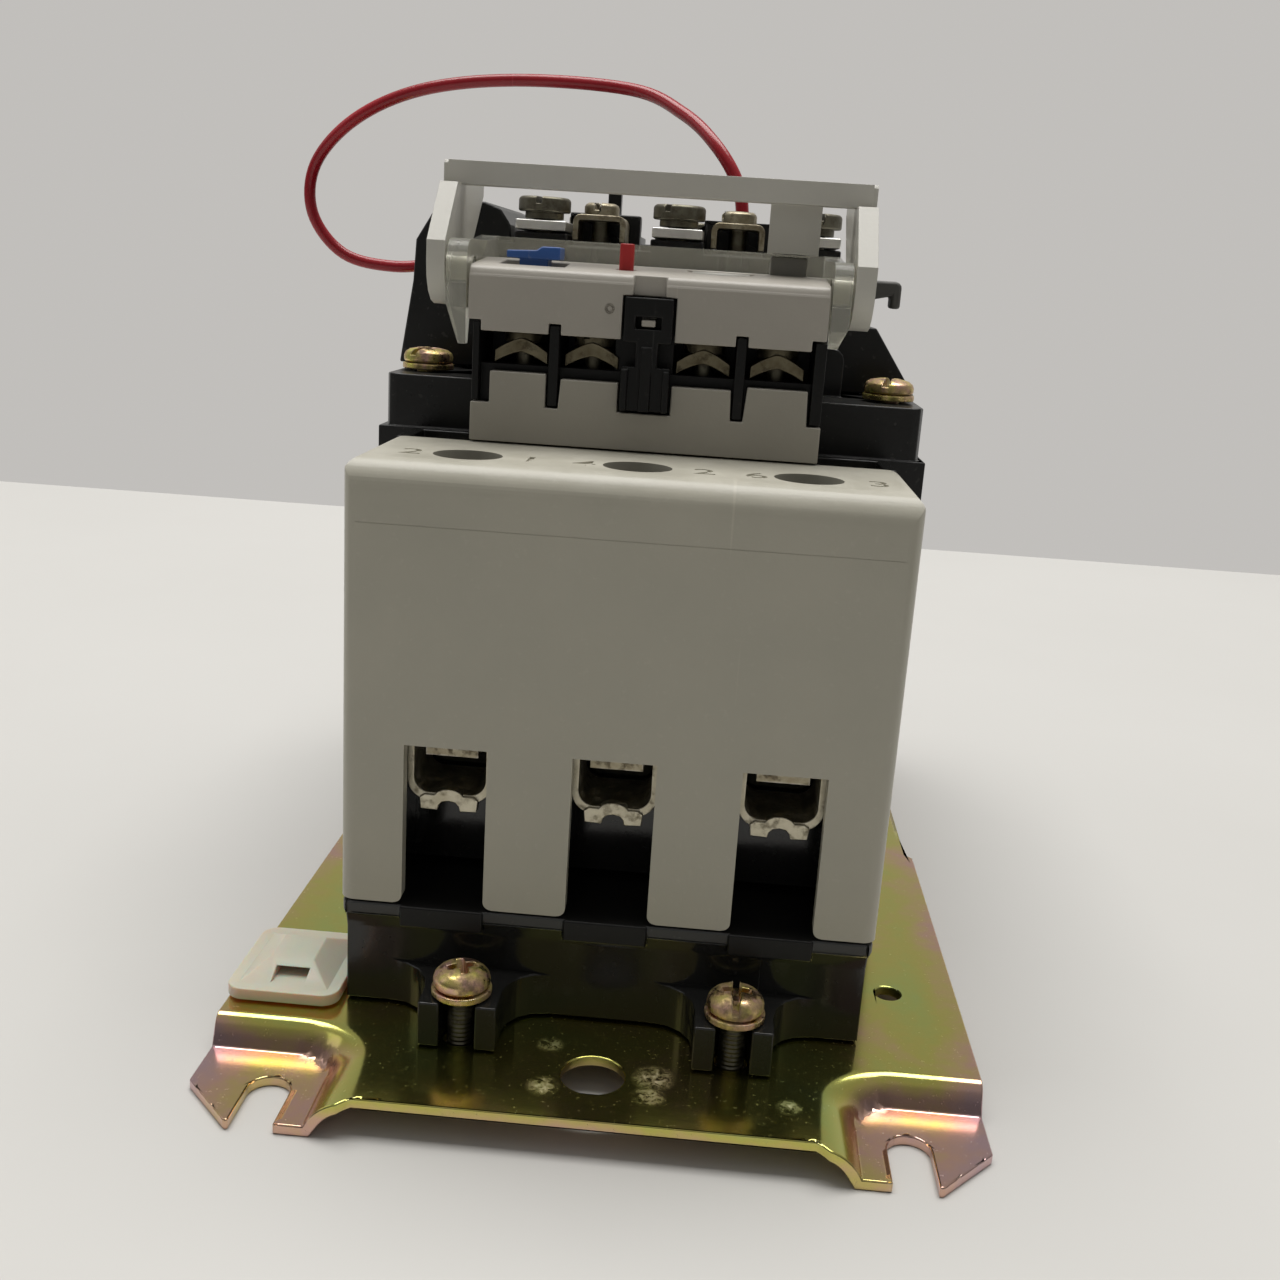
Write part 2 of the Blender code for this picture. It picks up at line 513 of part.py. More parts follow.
def make_contact(name, x, pole_front):
    """Fixed contact: tip, strap up through the roof, terminal pad under the screw."""
    if pole_front:
        side = [(84, 81.0), (84, 82.3), (73.5, 82.3), (73.5, 123.5), (61.6, 123.5), (61.6, 121.8), (72.0, 121.8),
                (72.0, 81.0)]
    else:
        side = [(106, 81.0), (106, 82.3), (136.5, 82.3), (136.5, 123.5), (148.4, 123.5), (148.4, 121.8),
                (138.0, 121.8), (138.0, 81.0)]
    strap = prism(name, "X", side, x - 4.4, x + 4.4, "tin")
    y_tip, y_screw = (80.5, 66.4) if pole_front else (109.5, 143.6)
    join(strap, rod("pad", "Z", (x, y_tip), 2.6, 81.5, 83.4, count=12))
    return cut(strap, rod("hole", "Z", (x, y_screw), 2.2, 120, 125, count=10))


def make_main_screw(name, x, y):
    profile = [(0, 108), (1.9, 108), (1.9, 123.8), (3.4, 123.8), (3.4, 124.9), (4.6, 125.1), (4.6, 127.0), (4.0, 127.6),
               (0, 127.6)]
    return cut(lathe(name, (x, y), profile, "steel", 16), box("slot", (x - 0.6, x + 0.6), (y - 6, y + 6), (126.2, 129)))


def make_coil_terminal(name, x):
    half, y = 4.65, 67.8
    arch = [(x - half, 120.6), (x - half, 124.0), (x - half + 1.2, 125.0), (x + half - 1.2, 125.0), (x + half, 124.0),
            (x + half, 120.6), (x + half - 1.1, 120.6), (x + half - 1.1, 123.4), (x + half - 1.6, 123.9),
            (x - half + 1.6, 123.9), (x - half + 1.1, 123.4), (x - half + 1.1, 120.6)]
    saddle = prism(name, "Y", arch, 63.6, 72.4, "steel")
    return join(saddle, lathe("screw", (x, y), [(0, 111), (1.6, 111), (1.6, 124.7), (3.1, 124.7), (3.1, 126.6),
                                                (2.6, 127.2), (0, 127.2)], None, 12))


def make_flange_screw(name, x):
    z, y = 97.8, 50.0
    profile = [(0, 86), (1.9, 86), (1.9, z), (4.3, z), (4.3, z + 0.9), (4.1, z + 1.0), (4.15, z + 2.2), (3.4, z + 3.2),
               (0, z + 3.6)]
    angle = math.radians(62 if x < 0 else 75)
    blade = [(x + a * math.cos(angle) - b * math.sin(angle), y + a * math.sin(angle) + b * math.cos(angle))
             for a, b in ((-6, -0.5), (6, -0.5), (6, 0.5), (-6, 0.5))]
    return cut(lathe(name, (x, y), profile, "brass_zinc", 20), prism("slot", "Z", blade, z + 2.0, z + 6))


def make_aux_module():
    outline = [(-47.0, 97.7), (-30.6, 97.7), (-30.6, 119.9), (-27.6, 119.9), (-27.8, 122.4), (-29.6, 125.0),
               (-32.4, 126.0), (-40.2, 126.0), (-44.4, 119.0), (-44.8, 112.0)]
    module = prism("aux_module", "Y", outline, 62.4, 104.0, "black")
    for i in range(5):
        y = 66.0 + 4.6 * i
        cut(module, prism("rib_groove", "Y", [(-44.0, 127), (-28, 127), (-28, 125.4), (-44.0, 125.4)], y, y + 1.2))
    return cut(module, rod("wire_entry", "Y", (-37.8, 113.1), 2.3, 90, 110, count=16))


def make_side_hook():
    side = [(32.0, 109.3), (36.6, 109.3), (36.6, 113.4), (41.0, 114.4), (41.0, 112.2), (42.8, 112.2), (42.8, 116.4),
            (42.0, 117.1), (33.6, 117.1), (32.0, 115.6)]
    return prism("side_hook", "Y", side, 78.0, 83.0, "black")


def make_carrier():
    carrier = box("contact_carrier", (-28.6, 31.6), (91.6, 98.4), (66, 100.0), "darkgrey")
    join(carrier, box("stem", (-9, 9), (91.6, 98.4), (56.0, 68)))
    for x in MAIN_POLES:
        cut(carrier, box("window", (x - 4.6, x + 4.6), (90, 100), (86.6, 92.6)))
    return carrier


def make_bridge(i, x):
    strap = box(f"bridge_{i}", (x - 3.6, x + 3.6), (78.0, 112.0), (89.2, 90.6), "copper")
    for y in (80.5, 109.5):
        join(strap, rod("pad", "Z", (x, y), 2.6, 88.0, 89.8, count=12))
    return strap


def make_magnet():
    core = box("magnet_core", (-26, 26), (85, 105), (12.9, 41.0), "core")
    for xs in ((-19, -6.5), (6.5, 19)):
        cut(core, box("window", xs, (80, 110), (20, 50)))
    armature = box("armature", (-26, 26), (85, 105), (45.6, 55.7), "core")
    return core, armature


def make_coil():
    coil = box("coil", (-18.6, 18.6), (77.5, 112.5), (20.4, 40.0), "darkgrey")
    return cut(coil, box("bore", (-6.9, 6.9), (84.6, 105.4), (10, 50)))


def make_return_spring():
    """Stands on the floor beside the core and lifts the end of the carrier frame."""
    turns, steps, radius, wire = 5, 10, 2.6, 0.5
    z0, z1 = 13.3, 65.1
    curve = bpy.data.curves.new("return_spring", "CURVE")
    curve.dimensions = "3D"
    curve.bevel_depth = wire * MM
    curve.bevel_resolution = 0
    curve.use_fill_caps = True
    spline = curve.splines.new("POLY")
    count = turns * steps
    spline.points.add(count)
    for i in range(count + 1):
        angle = math.tau * i / steps
        point = (30.5 + radius * math.cos(angle), 95 + radius * math.sin(angle), z0 + (z1 - z0) * i / count)
        spline.points[i].co = (*place(point), 1)
    obj = bpy.data.objects.new("return_spring", curve)
    curve.materials.append(material("steel"))
    bpy.context.scene.collection.objects.link(obj)
    return obj


def make_jumper():
    """Stiff insulated wire from the right coil terminal, over the top, to the rear of the side module."""
    route = [(12.5, 75.0, 120.6), (12.5, 74.9, 126.0), (11.2, 75.7, 132.2), (6.9, 78.2, 138.6), (0.2, 85.4, 144.6),
             (-10.6, 94.0, 149.4), (-34.0, 101.0, 150.7), (-53.5, 105.0, 148.4), (-67.2, 106.1, 142.3),
             (-76.3, 109.0, 133.4), (-77.2, 109.8, 123.6), (-70.9, 110.8, 115.8), (-60.4, 112.3, 113.8),
             (-49.2, 113.6, 115.1), (-41.4, 109.6, 114.9), (-37.6, 101.7, 113.4), (-38.0, 93.0, 112.4)]
    points = [Vector(p) for p in route]
    ends = [2 * points[0] - points[1]] + points + [2 * points[-1] - points[-2]]
    smooth = []
    for a, b, c, d in zip(ends, ends[1:], ends[2:], ends[3:]):
        for k in range(4):
            t = k / 4
            smooth.append(0.5 * (2 * b + (c - a) * t + (2 * a - 5 * b + 4 * c - d) * t * t
                                 + (3 * b - 3 * c + d - a) * t * t * t))
    smooth.append(points[-1])
    curve = bpy.data.curves.new("jumper_wire", "CURVE")
    curve.dimensions = "3D"
    curve.bevel_depth = 1.2 * MM
    curve.bevel_resolution = 2
    curve.use_fill_caps = True
    spline = curve.splines.new("POLY")
    spline.points.add(len(smooth) - 1)
    for point, p in zip(spline.points, smooth):
        point.co = (*place(p), 1)
    obj = bpy.data.objects.new("jumper_wire", curve)
    curve.materials.append(material("red"))
    bpy.context.scene.collection.objects.link(obj)
    return obj


def main():
    for obj in list(bpy.data.objects):
        bpy.data.objects.remove(obj)
    make_plate()
    make_tie_mount()
    make_relay_base()
    make_relay_screw("relay_screw_l", LUG_X[0], True)
    make_relay_screw("relay_screw_r", LUG_X[1], False)
    make_relay_housing()
    make_shroud()
    for i, x in enumerate(POLES, 1):
        make_clamp(i, x)
        make_load_screw(i, x)
        make_heater(i, x)
    make_trip_slider()
    make_relay_body()
    make_aux_block()
    for i, x in enumerate(AUX_X, 1):
        make_aux_terminal(i, x)
    make_latch()
    make_top_cover()
    make_reset_button()
    make_trip_pin()
    make_stop_button()
    make_dial()
    make_clear_guard()
    make_bail()
    make_contactor_base()
    make_contactor_top()
    make_flange_screw("flange_screw_l", -39.0)
    make_flange_screw("flange_screw_r", 39.0)
    make_aux_module()
    make_side_hook()
    for i, x in enumerate(MAIN_POLES, 1):
        make_contact(f"load_contact_{i}", x, True)
        make_contact(f"line_contact_{i}", x, False)
        make_main_screw(f"main_screw_{i}", x, 66.4)
        make_main_screw(f"line_screw_{i}", x, 143.6)
        make_bridge(i, x)
    for i, x in enumerate(COIL_X, 1):
        make_coil_terminal(f"coil_terminal_{i}", x)
    make_carrier()
    make_magnet()
    make_coil()
    make_return_spring()
    make_jumper()


main()
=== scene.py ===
# %% [markdown]
# # A motor starter: contactor and overload relay on a plated steel plate
# The object is a three-pole contactor with a thermal overload relay plugged to its load end. Both are
# screwed to a yellow zinc plated plate with pressed feet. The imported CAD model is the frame: it says
# where every piece is and how it moves. This script gives each piece its edges, its surface and its finish.

# %% Load the frame
import json
import math

import bmesh
import bpy
from mathutils import Matrix, Vector


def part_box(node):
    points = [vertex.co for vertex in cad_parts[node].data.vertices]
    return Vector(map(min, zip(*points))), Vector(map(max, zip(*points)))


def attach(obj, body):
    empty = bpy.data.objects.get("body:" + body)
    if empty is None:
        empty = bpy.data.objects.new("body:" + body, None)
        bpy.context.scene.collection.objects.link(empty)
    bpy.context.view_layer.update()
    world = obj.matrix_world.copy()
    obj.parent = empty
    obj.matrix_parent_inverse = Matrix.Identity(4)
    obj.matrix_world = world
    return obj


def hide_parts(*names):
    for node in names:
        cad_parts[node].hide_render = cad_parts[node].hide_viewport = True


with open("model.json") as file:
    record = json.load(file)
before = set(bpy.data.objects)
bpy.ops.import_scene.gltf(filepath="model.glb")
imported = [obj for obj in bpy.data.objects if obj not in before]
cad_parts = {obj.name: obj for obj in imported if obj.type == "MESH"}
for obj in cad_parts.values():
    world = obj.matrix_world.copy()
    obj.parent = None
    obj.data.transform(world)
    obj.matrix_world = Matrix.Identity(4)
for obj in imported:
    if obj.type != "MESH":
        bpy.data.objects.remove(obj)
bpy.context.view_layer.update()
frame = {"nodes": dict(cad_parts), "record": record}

MM = 0.001
POLES = (-24.5, 0.0, 24.5)
SHROUD_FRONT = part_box("terminal_shroud")[0][1]  # Y of the terminal shroud's front face, in metres


# %% [markdown]
# ## Measures
# Every size here is in millimetres, with X across the poles, Y counted back from the front face of the
# grey terminal shroud, and Z up from the table. One function turns them into the frame's metres, so a
# number in this script is the number a caliper would read.

# %% From millimetres to the frame
def at(x, y, z):
    return Vector((x * MM, SHROUD_FRONT + y * MM, z * MM))


def placed(name, data):
    made = bpy.data.objects.new(name, data)
    bpy.context.scene.collection.objects.link(made)
    return made


print("shroud front at Y =", round(SHROUD_FRONT, 4))

# %% [markdown]
# ## Camera
# The picture is taken from just above the relay's top, looking down at the load end with the horizon
# slightly tilted. Yaw, pitch and roll build the camera's own axes one after another, which is easier to
# adjust than three Euler angles.

# %% Camera
yaw, pitch, roll = math.radians(-2.75), math.radians(15.22), math.radians(3.70)
level = Vector((math.sin(yaw), math.cos(yaw), 0.0))
forward = level * math.cos(pitch) - Vector((0.0, 0.0, math.sin(pitch)))
right = Vector((math.cos(yaw), -math.sin(yaw), 0.0))
up = right.cross(forward)
right, up = (math.cos(roll) * right + math.sin(roll) * up, -math.sin(roll) * right + math.cos(roll) * up)
lens = bpy.data.cameras.new("camera")
lens.lens, lens.sensor_width, lens.clip_start = 37.84, 36.0, 0.01
camera = placed("camera", lens)
place = Matrix((right, up, -forward)).transposed().to_4x4()
place.translation = at(11.15, -180.97, 115.68)
camera.matrix_world = place
bpy.context.scene.camera = camera
bpy.context.scene.view_settings.view_transform = "Standard"
print("camera at", [round(v, 4) for v in camera.matrix_world.translation])

# %% [markdown]
# ## The jumper wire
# One stiff insulated wire runs from the right coil terminal, over the top of the contactor, to the rear of
# the side module. The route is a few points that the wire really passes, and a Catmull-Rom curve bends
# smoothly through them, as stiff copper does. A curve object with a round bevel is the natural tool.

# %% Route of the wire
ROUTE = [(12.5, 75.0, 120.6), (12.5, 74.9, 126.0), (11.2, 75.7, 132.2), (6.9, 78.2, 138.6),
         (0.2, 85.4, 144.6), (-10.6, 94.0, 149.4), (-34.0, 101.0, 150.7), (-53.5, 105.0, 148.4),
         (-67.2, 106.1, 142.3), (-76.3, 109.0, 133.4), (-77.2, 109.8, 123.6), (-70.9, 110.8, 115.8),
         (-60.4, 112.3, 113.8), (-49.2, 113.6, 115.1), (-41.4, 109.6, 114.9), (-37.6, 101.7, 113.4),
         (-38.0, 93.0, 112.4)]
WIRE_DIAMETER = 2.4


def through(points, steps):
    """Points of a Catmull-Rom curve through the given ones."""
    ends = [2 * points[0] - points[1]] + points + [2 * points[-1] - points[-2]]
    found = []
    for a, b, c, d in zip(ends, ends[1:], ends[2:], ends[3:]):
        for k in range(steps):
            t = k / steps
            found.append(0.5 * (2 * b + (c - a) * t + (2 * a - 5 * b + 4 * c - d) * t * t
                                + (3 * b - 3 * c + d - a) * t ** 3))
    return found + [points[-1]]


wire_line = through([at(*p) for p in ROUTE], 8)

# %% Wire curve
wire_curve = bpy.data.curves.new("jumper_lead", "CURVE")
wire_curve.dimensions = "3D"
wire_curve.bevel_depth = 1.0  # metres, times each point's own radius below
wire_curve.bevel_resolution = 5
wire_curve.use_fill_caps = True
wire_spline = wire_curve.splines.new("POLY")
wire_spline.points.add(len(wire_line) - 1)
for spot, p in zip(wire_spline.points, wire_line):
    spot.co, spot.radius = (*p, 1.0), WIRE_DIAMETER / 2 * MM
jumper = placed("jumper_lead", wire_curve)
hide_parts("jumper_wire")
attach(jumper, "starter")
print("jumper made")

# %% [markdown]
# ## Floor and light
# A pale table top stands under the object and ends some way behind it. A wide soft light hangs above and a
# little behind, so tops are bright and front faces fall off, and a weak one fills in from the left. The sky
# comes later, with the finishes.

# %% Floor
bm = bmesh.new()
HALF_WIDTH, HALF_DEPTH, REAR_EDGE = 1.6, 0.96, 0.374  # metres
bmesh.ops.create_grid(bm, x_segments=1, y_segments=1, size=1.0)
bmesh.ops.scale(bm, vec=(HALF_WIDTH, HALF_DEPTH, 1.0), verts=bm.verts)
bmesh.ops.translate(bm, vec=(0.0, REAR_EDGE - HALF_DEPTH, 0.0), verts=bm.verts)
floor_mesh = bpy.data.meshes.new("table_top")
bm.to_mesh(floor_mesh)
bm.free()
floor = placed("table_top", floor_mesh)
print("floor reaches Y =", round(max(v.co.y for v in floor_mesh.vertices), 3))


# %% Soft lights
def soft_light(name, spot, target, size, power, tint):
    lamp = bpy.data.lights.new(name, "AREA")
    lamp.shape, lamp.size, lamp.size_y = "RECTANGLE", size[0], size[1]
    lamp.energy, lamp.color = power, tint
    held = placed(name, lamp)
    held.location = spot
    held.rotation_euler = (Vector(target) - Vector(spot)).to_track_quat("-Z", "Y").to_euler()


soft_light("ceiling", (-0.05, 0.34, 1.7), (-0.05, 0.34, 0.0), (1.8, 1.15), 37.5, (1.0, 0.985, 0.96))
soft_light("window", (-1.3, -0.1, 0.8), (0, 0, 0.06), (0.7, 0.7), 0.8, (0.97, 0.985, 1.0))


# %% [markdown]
# ## Node trees in words
# A few small helpers keep the node code readable. One adds a node and fills its inputs by name, with a link
# where the value is a socket. The others stand for the nodes used most and give back the socket that leaves
# them. The last two open a node group and a material.

# %% Node helpers
def fill(node, inputs):
    for key, value in inputs.items():
        socket = node.inputs[key]
        if isinstance(value, bpy.types.NodeSocket):
            node.id_data.links.new(value, socket)
        else:
            socket.default_value = (*value, 1.0) if socket.type == "RGBA" else value
    return node


def add(tree, kind, inputs=None, **settings):
    made = tree.nodes.new("ShaderNode" + kind)
    for key, value in settings.items():
        setattr(made, key, value)
    return fill(made, inputs or {})


def object_space(tree):
    return add(tree, "TexCoord").outputs["Object"]


def noise(tree, where, scale, detail, **more):
    return add(tree, "TexNoise", {"Vector": where, "Scale": scale, "Detail": detail, **more}).outputs["Fac"]


def calc(tree, operation, a, b=0.5, clamp=False):
    return add(tree, "Math", {0: a, 1: b}, operation=operation, use_clamp=clamp).outputs[0]


def remap(tree, value, low, high, to_low=0.0, to_high=1.0):
    ends = {"From Min": low, "From Max": high, "To Min": to_low, "To Max": to_high}
    return add(tree, "MapRange", {"Value": value, **ends}).outputs[0]


def mix(tree, factor, a, b):
    """The Mix node keeps its two colours at inputs 6 and 7, and gives the blended one at output 2."""
    return add(tree, "Mix", {0: factor, 6: a, 7: b}, data_type="RGBA").outputs[2]


def ramp(tree, factor, stops):
    made = add(tree, "ValToRGB", {"Fac": factor})
    band = made.color_ramp
    while len(band.elements) < len(stops):
        band.elements.new(0.5)
    for element, (spot, colour) in zip(band.elements, stops):
        element.position, element.color = spot, (*colour, 1.0)
    return made.outputs["Color"]


def relief_of(tree, height, strength, distance):
    return add(tree, "Bump", {"Strength": strength, "Distance": distance, "Height": height}).outputs[0]


def use(tree, group, **inputs):
    return add(tree, "Group", inputs, node_tree=group).outputs


def open_group(name, inputs, outputs):
    """Inputs come with their defaults, three numbers for a colour. The output named Color is a colour."""
    tree = bpy.data.node_groups.new(name, "ShaderNodeTree")
    for label, value in inputs.items():
        coloured = isinstance(value, tuple)
        kind = "NodeSocketColor" if coloured else "NodeSocketFloat"
        socket = tree.interface.new_socket(label, in_out="INPUT", socket_type=kind)
        socket.default_value = (*value, 1.0) if coloured else value
    for label in outputs:
        kind = "NodeSocketColor" if label == "Color" else "NodeSocketFloat"
        tree.interface.new_socket(label, in_out="OUTPUT", socket_type=kind)
    return tree, tree.nodes.new("NodeGroupInput").outputs, tree.nodes.new("NodeGroupOutput")


def open_material(name):
    made = bpy.data.materials.new(name)
    made.use_nodes = True
    return made, made.node_tree, made.node_tree.nodes["Principled BSDF"]


print("helpers ready")

# %% [markdown]
# ## Mottle
# Moulded plastic and plated steel are never one flat colour. A broad noise blends a light and a dark tone.
# The group is used by nearly every finish.

# %% Mottle group
MOTTLE, ins, out = open_group("mottle", {"Light": (1, 1, 1), "Dark": (0, 0, 0), "Scale": 60.0, "Spread": 0.2},
                              ["Color", "Value"])
broad = noise(MOTTLE, object_space(MOTTLE), ins["Scale"], 4.0, Roughness=0.6)
low = calc(MOTTLE, "SUBTRACT", 0.5, ins["Spread"])
high = calc(MOTTLE, "ADD", 0.5, ins["Spread"])
spread = remap(MOTTLE, broad, low, high)
fill(out, {"Color": mix(MOTTLE, spread, ins["Dark"], ins["Light"]), "Value": spread})
print("group:", MOTTLE.name)

# %% [markdown]
# ## Rubbed and highlighted edges
# Handling polishes the edges of plastic and bares the edges of plating, and the same mask also lightens every
# edge as a painted highlight. A Bevel node rounds the normal near an edge. Where that rounded normal leaves the
# real one, the surface is close to an edge.

# %% Edge group
EDGE_WEAR_AND_HIGHLIGHT, ins, out = open_group("edge_wear_and_highlight", {"Radius": 0.0006, "Gain": 3.0, "Breakup": 300.0}, ["Mask"])
round_off = add(EDGE_WEAR_AND_HIGHLIGHT, "Bevel", {"Radius": ins["Radius"]}, samples=4).outputs[0]
flat = add(EDGE_WEAR_AND_HIGHLIGHT, "NewGeometry").outputs["Normal"]
facing = add(EDGE_WEAR_AND_HIGHLIGHT, "VectorMath", {0: round_off, 1: flat}, operation="DOT_PRODUCT").outputs["Value"]
strong = calc(EDGE_WEAR_AND_HIGHLIGHT, "MULTIPLY", calc(EDGE_WEAR_AND_HIGHLIGHT, "SUBTRACT", 1.0, facing), ins["Gain"])
breakup = noise(EDGE_WEAR_AND_HIGHLIGHT, object_space(EDGE_WEAR_AND_HIGHLIGHT), ins["Breakup"], 3.0)
# The mask stands for rubbed wear and for a painted highlight along every edge.
fill(out, {"Mask": calc(EDGE_WEAR_AND_HIGHLIGHT, "MULTIPLY", strong, remap(EDGE_WEAR_AND_HIGHLIGHT, breakup, 0.35, 0.65), True)})
print("group:", EDGE_WEAR_AND_HIGHLIGHT.name)

# %% [markdown]
# ## Settled dust
# Stored switchgear gathers dust on what faces up, and fine specks everywhere. The mask reads the surface
# normal, so it needs no painting by hand.

# %% Dust group
DUST, ins, out = open_group("settled_dust", {"Color": (0.5, 0.5, 0.5), "Dust": (0.4, 0.38, 0.34),
                                             "Amount": 0.3, "Specks": 0.1}, ["Color", "Mask"])
spots = object_space(DUST)
facing = add(DUST, "SeparateXYZ", {0: add(DUST, "NewGeometry").outputs["Normal"]}).outputs["Z"]
patchy = remap(DUST, noise(DUST, spots, 90.0, 6.0, Roughness=0.7), 0.35, 0.75)
film = calc(DUST, "MULTIPLY", remap(DUST, facing, 0.2, 1.0), patchy)
film = calc(DUST, "MULTIPLY", film, ins["Amount"])
crumb = calc(DUST, "MULTIPLY", remap(DUST, noise(DUST, spots, 900.0, 2.0), 0.66, 0.72), ins["Specks"])
whole = calc(DUST, "ADD", film, crumb, True)
fill(out, {"Color": mix(DUST, whole, ins["Color"], ins["Dust"]), "Mask": whole})
print("group:", DUST.name)

# %% [markdown]
# ## Moulded grain
# Mould steel is spark-eroded, which prints a very fine pebble on the plastic. It is too small to model and
# too visible in the highlights to leave out, so it is a height for the Bump node.

# %% Grain group
GRAIN, ins, out = open_group("moulded_grain", {"Scale": 1800.0, "Waviness": 0.3}, ["Height"])
spots = object_space(GRAIN)
swell = calc(GRAIN, "MULTIPLY", noise(GRAIN, spots, 45.0, 1.0), ins["Waviness"])
fill(out, {"Height": calc(GRAIN, "ADD", noise(GRAIN, spots, ins["Scale"], 2.0), swell)})
print("group:", GRAIN.name)

# %% [markdown]
# ## Fine scratches
# Long thin noise, stretched along one direction and cut to its crests, reads as light handling scratches.

# %% Scratch group
SCRATCHES, ins, out = open_group("fine_scratches", {"Turn": 0.5, "Amount": 0.5}, ["Mask"])
spots = object_space(SCRATCHES)
turn = add(SCRATCHES, "CombineXYZ", {axis: ins["Turn"] for axis in "XYZ"}).outputs[0]
laid = add(SCRATCHES, "Mapping", {"Vector": spots, "Rotation": turn, "Scale": (900.0, 14.0, 14.0)}).outputs[0]
crest = remap(SCRATCHES, noise(SCRATCHES, laid, 1.0, 2.0), 0.69, 0.73)
only = remap(SCRATCHES, noise(SCRATCHES, spots, 40.0, 2.0), 0.52, 0.6)
both = calc(SCRATCHES, "MULTIPLY", crest, only)
fill(out, {"Mask": calc(SCRATCHES, "MULTIPLY", both, ins["Amount"], True)})
print("group:", SCRATCHES.name)


# %% [markdown]
# ## Moulded plastics
# All the plastic pieces share one recipe: mottle, rubbed edges that are also lightened as a painted highlight,
# scratches, dust, grain. Each gets its own tones and amounts. Sockets that are the same all over stay plain
# numbers on the shader itself.

# %% Plastic recipe
GRAIN_DEPTH = 0.2 * MM


def moulding(name, light, dark, rough=0.45, grain=0.05, dust=0.2, specks=0.1, rub_and_highlight=0.25, scratch=0.3,
             dust_tone=(0.45, 0.43, 0.38), **plain):
    made, tree, shader = open_material(name)
    tone = use(tree, MOTTLE, Light=light, Dark=dark, Scale=70.0, Spread=0.25)
    edge = use(tree, EDGE_WEAR_AND_HIGHLIGHT, Radius=0.0007, Gain=2.5, Breakup=260.0)["Mask"]
    hair = use(tree, SCRATCHES, Turn=0.7, Amount=scratch)["Mask"]
    # Edges and scratches turn paler: rubbed wear, and along the edges also a painted highlight.
    worn_and_highlit = calc(tree, "ADD", calc(tree, "MULTIPLY", edge, rub_and_highlight), hair, True)
    pale = [min(1.0, c * 1.25 + 0.05) for c in light]
    powdered = use(tree, DUST, Color=mix(tree, worn_and_highlit, tone["Color"], pale), Dust=dust_tone, Amount=dust,
                   Specks=specks)
    shine = remap(tree, tone["Value"], 0.0, 1.0, rough - 0.05, rough + 0.06)
    shine = calc(tree, "ADD", shine, calc(tree, "MULTIPLY", powdered["Mask"], 0.4), True)
    pebble = use(tree, GRAIN, Scale=1600.0, Waviness=0.6)["Height"]
    fill(shader, {"Base Color": powdered["Color"], "Roughness": shine,
                  "Normal": relief_of(tree, pebble, grain, GRAIN_DEPTH)})
    fill(shader, {key.replace("_", " "): value for key, value in plain.items()})
    return made


# %% Plastic finishes
GREY = moulding("warm_grey_moulding", (0.425, 0.405, 0.335), (0.39, 0.375, 0.31), rough=0.34, grain=0.10,
                dust=0.30, specks=0.05, dust_tone=(0.72, 0.70, 0.62))
# The cover is the shroud's grey made a little darker, with darker dust: painted shade, for the cover stands behind
# the shroud.
SHADED_GREY_COVER = moulding("shaded_grey_cover_moulding", (0.40, 0.375, 0.33), (0.375, 0.35, 0.31), rough=0.38, grain=0.12,
                      specks=0.12, dust_tone=(0.50, 0.48, 0.42))
# The relay body's frame is the same grey made darker still: painted shade from the cover above it.
SHADED_GREY_BODY = moulding("shaded_grey_body_moulding", (0.36, 0.34, 0.29), (0.335, 0.315, 0.27), rough=0.40, grain=0.12,
                    dust=0.10, specks=0.08)
BLACK = moulding("glossy_black_moulding", (0.016, 0.016, 0.015), (0.010, 0.010, 0.010), rough=0.13, grain=0.03,
                 dust=0.05, specks=0.05, rub_and_highlight=0.10, dust_tone=(0.16, 0.155, 0.14))
BODY_BLACK = moulding("satin_black_moulding", (0.016, 0.016, 0.016), (0.009, 0.009, 0.009), rough=0.30,
                      grain=0.10, dust=0.10, specks=0.12, rub_and_highlight=0.16, dust_tone=(0.20, 0.195, 0.18),
                      Specular_IOR_Level=0.28)
DEAD_BLACK = moulding("matt_black_moulding", (0.010, 0.010, 0.0095), (0.006, 0.006, 0.006), rough=0.34,
                      grain=0.08, dust=0.05, specks=0.06, rub_and_highlight=0.10, dust_tone=(0.12, 0.115, 0.10),
                      Specular_IOR_Level=0.22)
# On the relay base's rim strip this dark grey is partly the strip's own colour and partly a painted reflection.
RIM = moulding("dark_grey_moulding", (0.030, 0.031, 0.031), (0.021, 0.022, 0.022), rough=0.36, grain=0.10,
               dust=0.10, dust_tone=(0.2, 0.195, 0.18))
SLATE = moulding("slate_moulding", (0.080, 0.078, 0.070), (0.060, 0.058, 0.052), rough=0.42, grain=0.10,
                 dust=0.15)
WHITE = moulding("warm_white_moulding", (0.53, 0.518, 0.47), (0.49, 0.478, 0.43), rough=0.38, grain=0.08,
                 dust=0.10, specks=0.12)
STOP_GREY = moulding("stop_grey_moulding", (0.20, 0.195, 0.17), (0.16, 0.155, 0.135), rough=0.42, grain=0.10,
                     dust=0.15)
BLUE = moulding("blue_moulding", (0.030, 0.11, 0.38), (0.022, 0.085, 0.30), rough=0.40, dust=0.25)
RED = moulding("red_moulding", (0.48, 0.025, 0.025), (0.38, 0.02, 0.02), rough=0.34)
NYLON = moulding("milky_nylon", (0.60, 0.575, 0.46), (0.54, 0.515, 0.41), rough=0.42, grain=0.08, dust=0.08,
                 Subsurface_Weight=0.55, Subsurface_Scale=0.005)
print("plastics:", len(bpy.data.materials))

# %% [markdown]
# ## Clear guard
# Old polycarbonate is clear with a yellow tinge, and a film of dust dulls it. Transmission stays one plain
# number on the shader, and only the colour, the roughness and the relief vary.

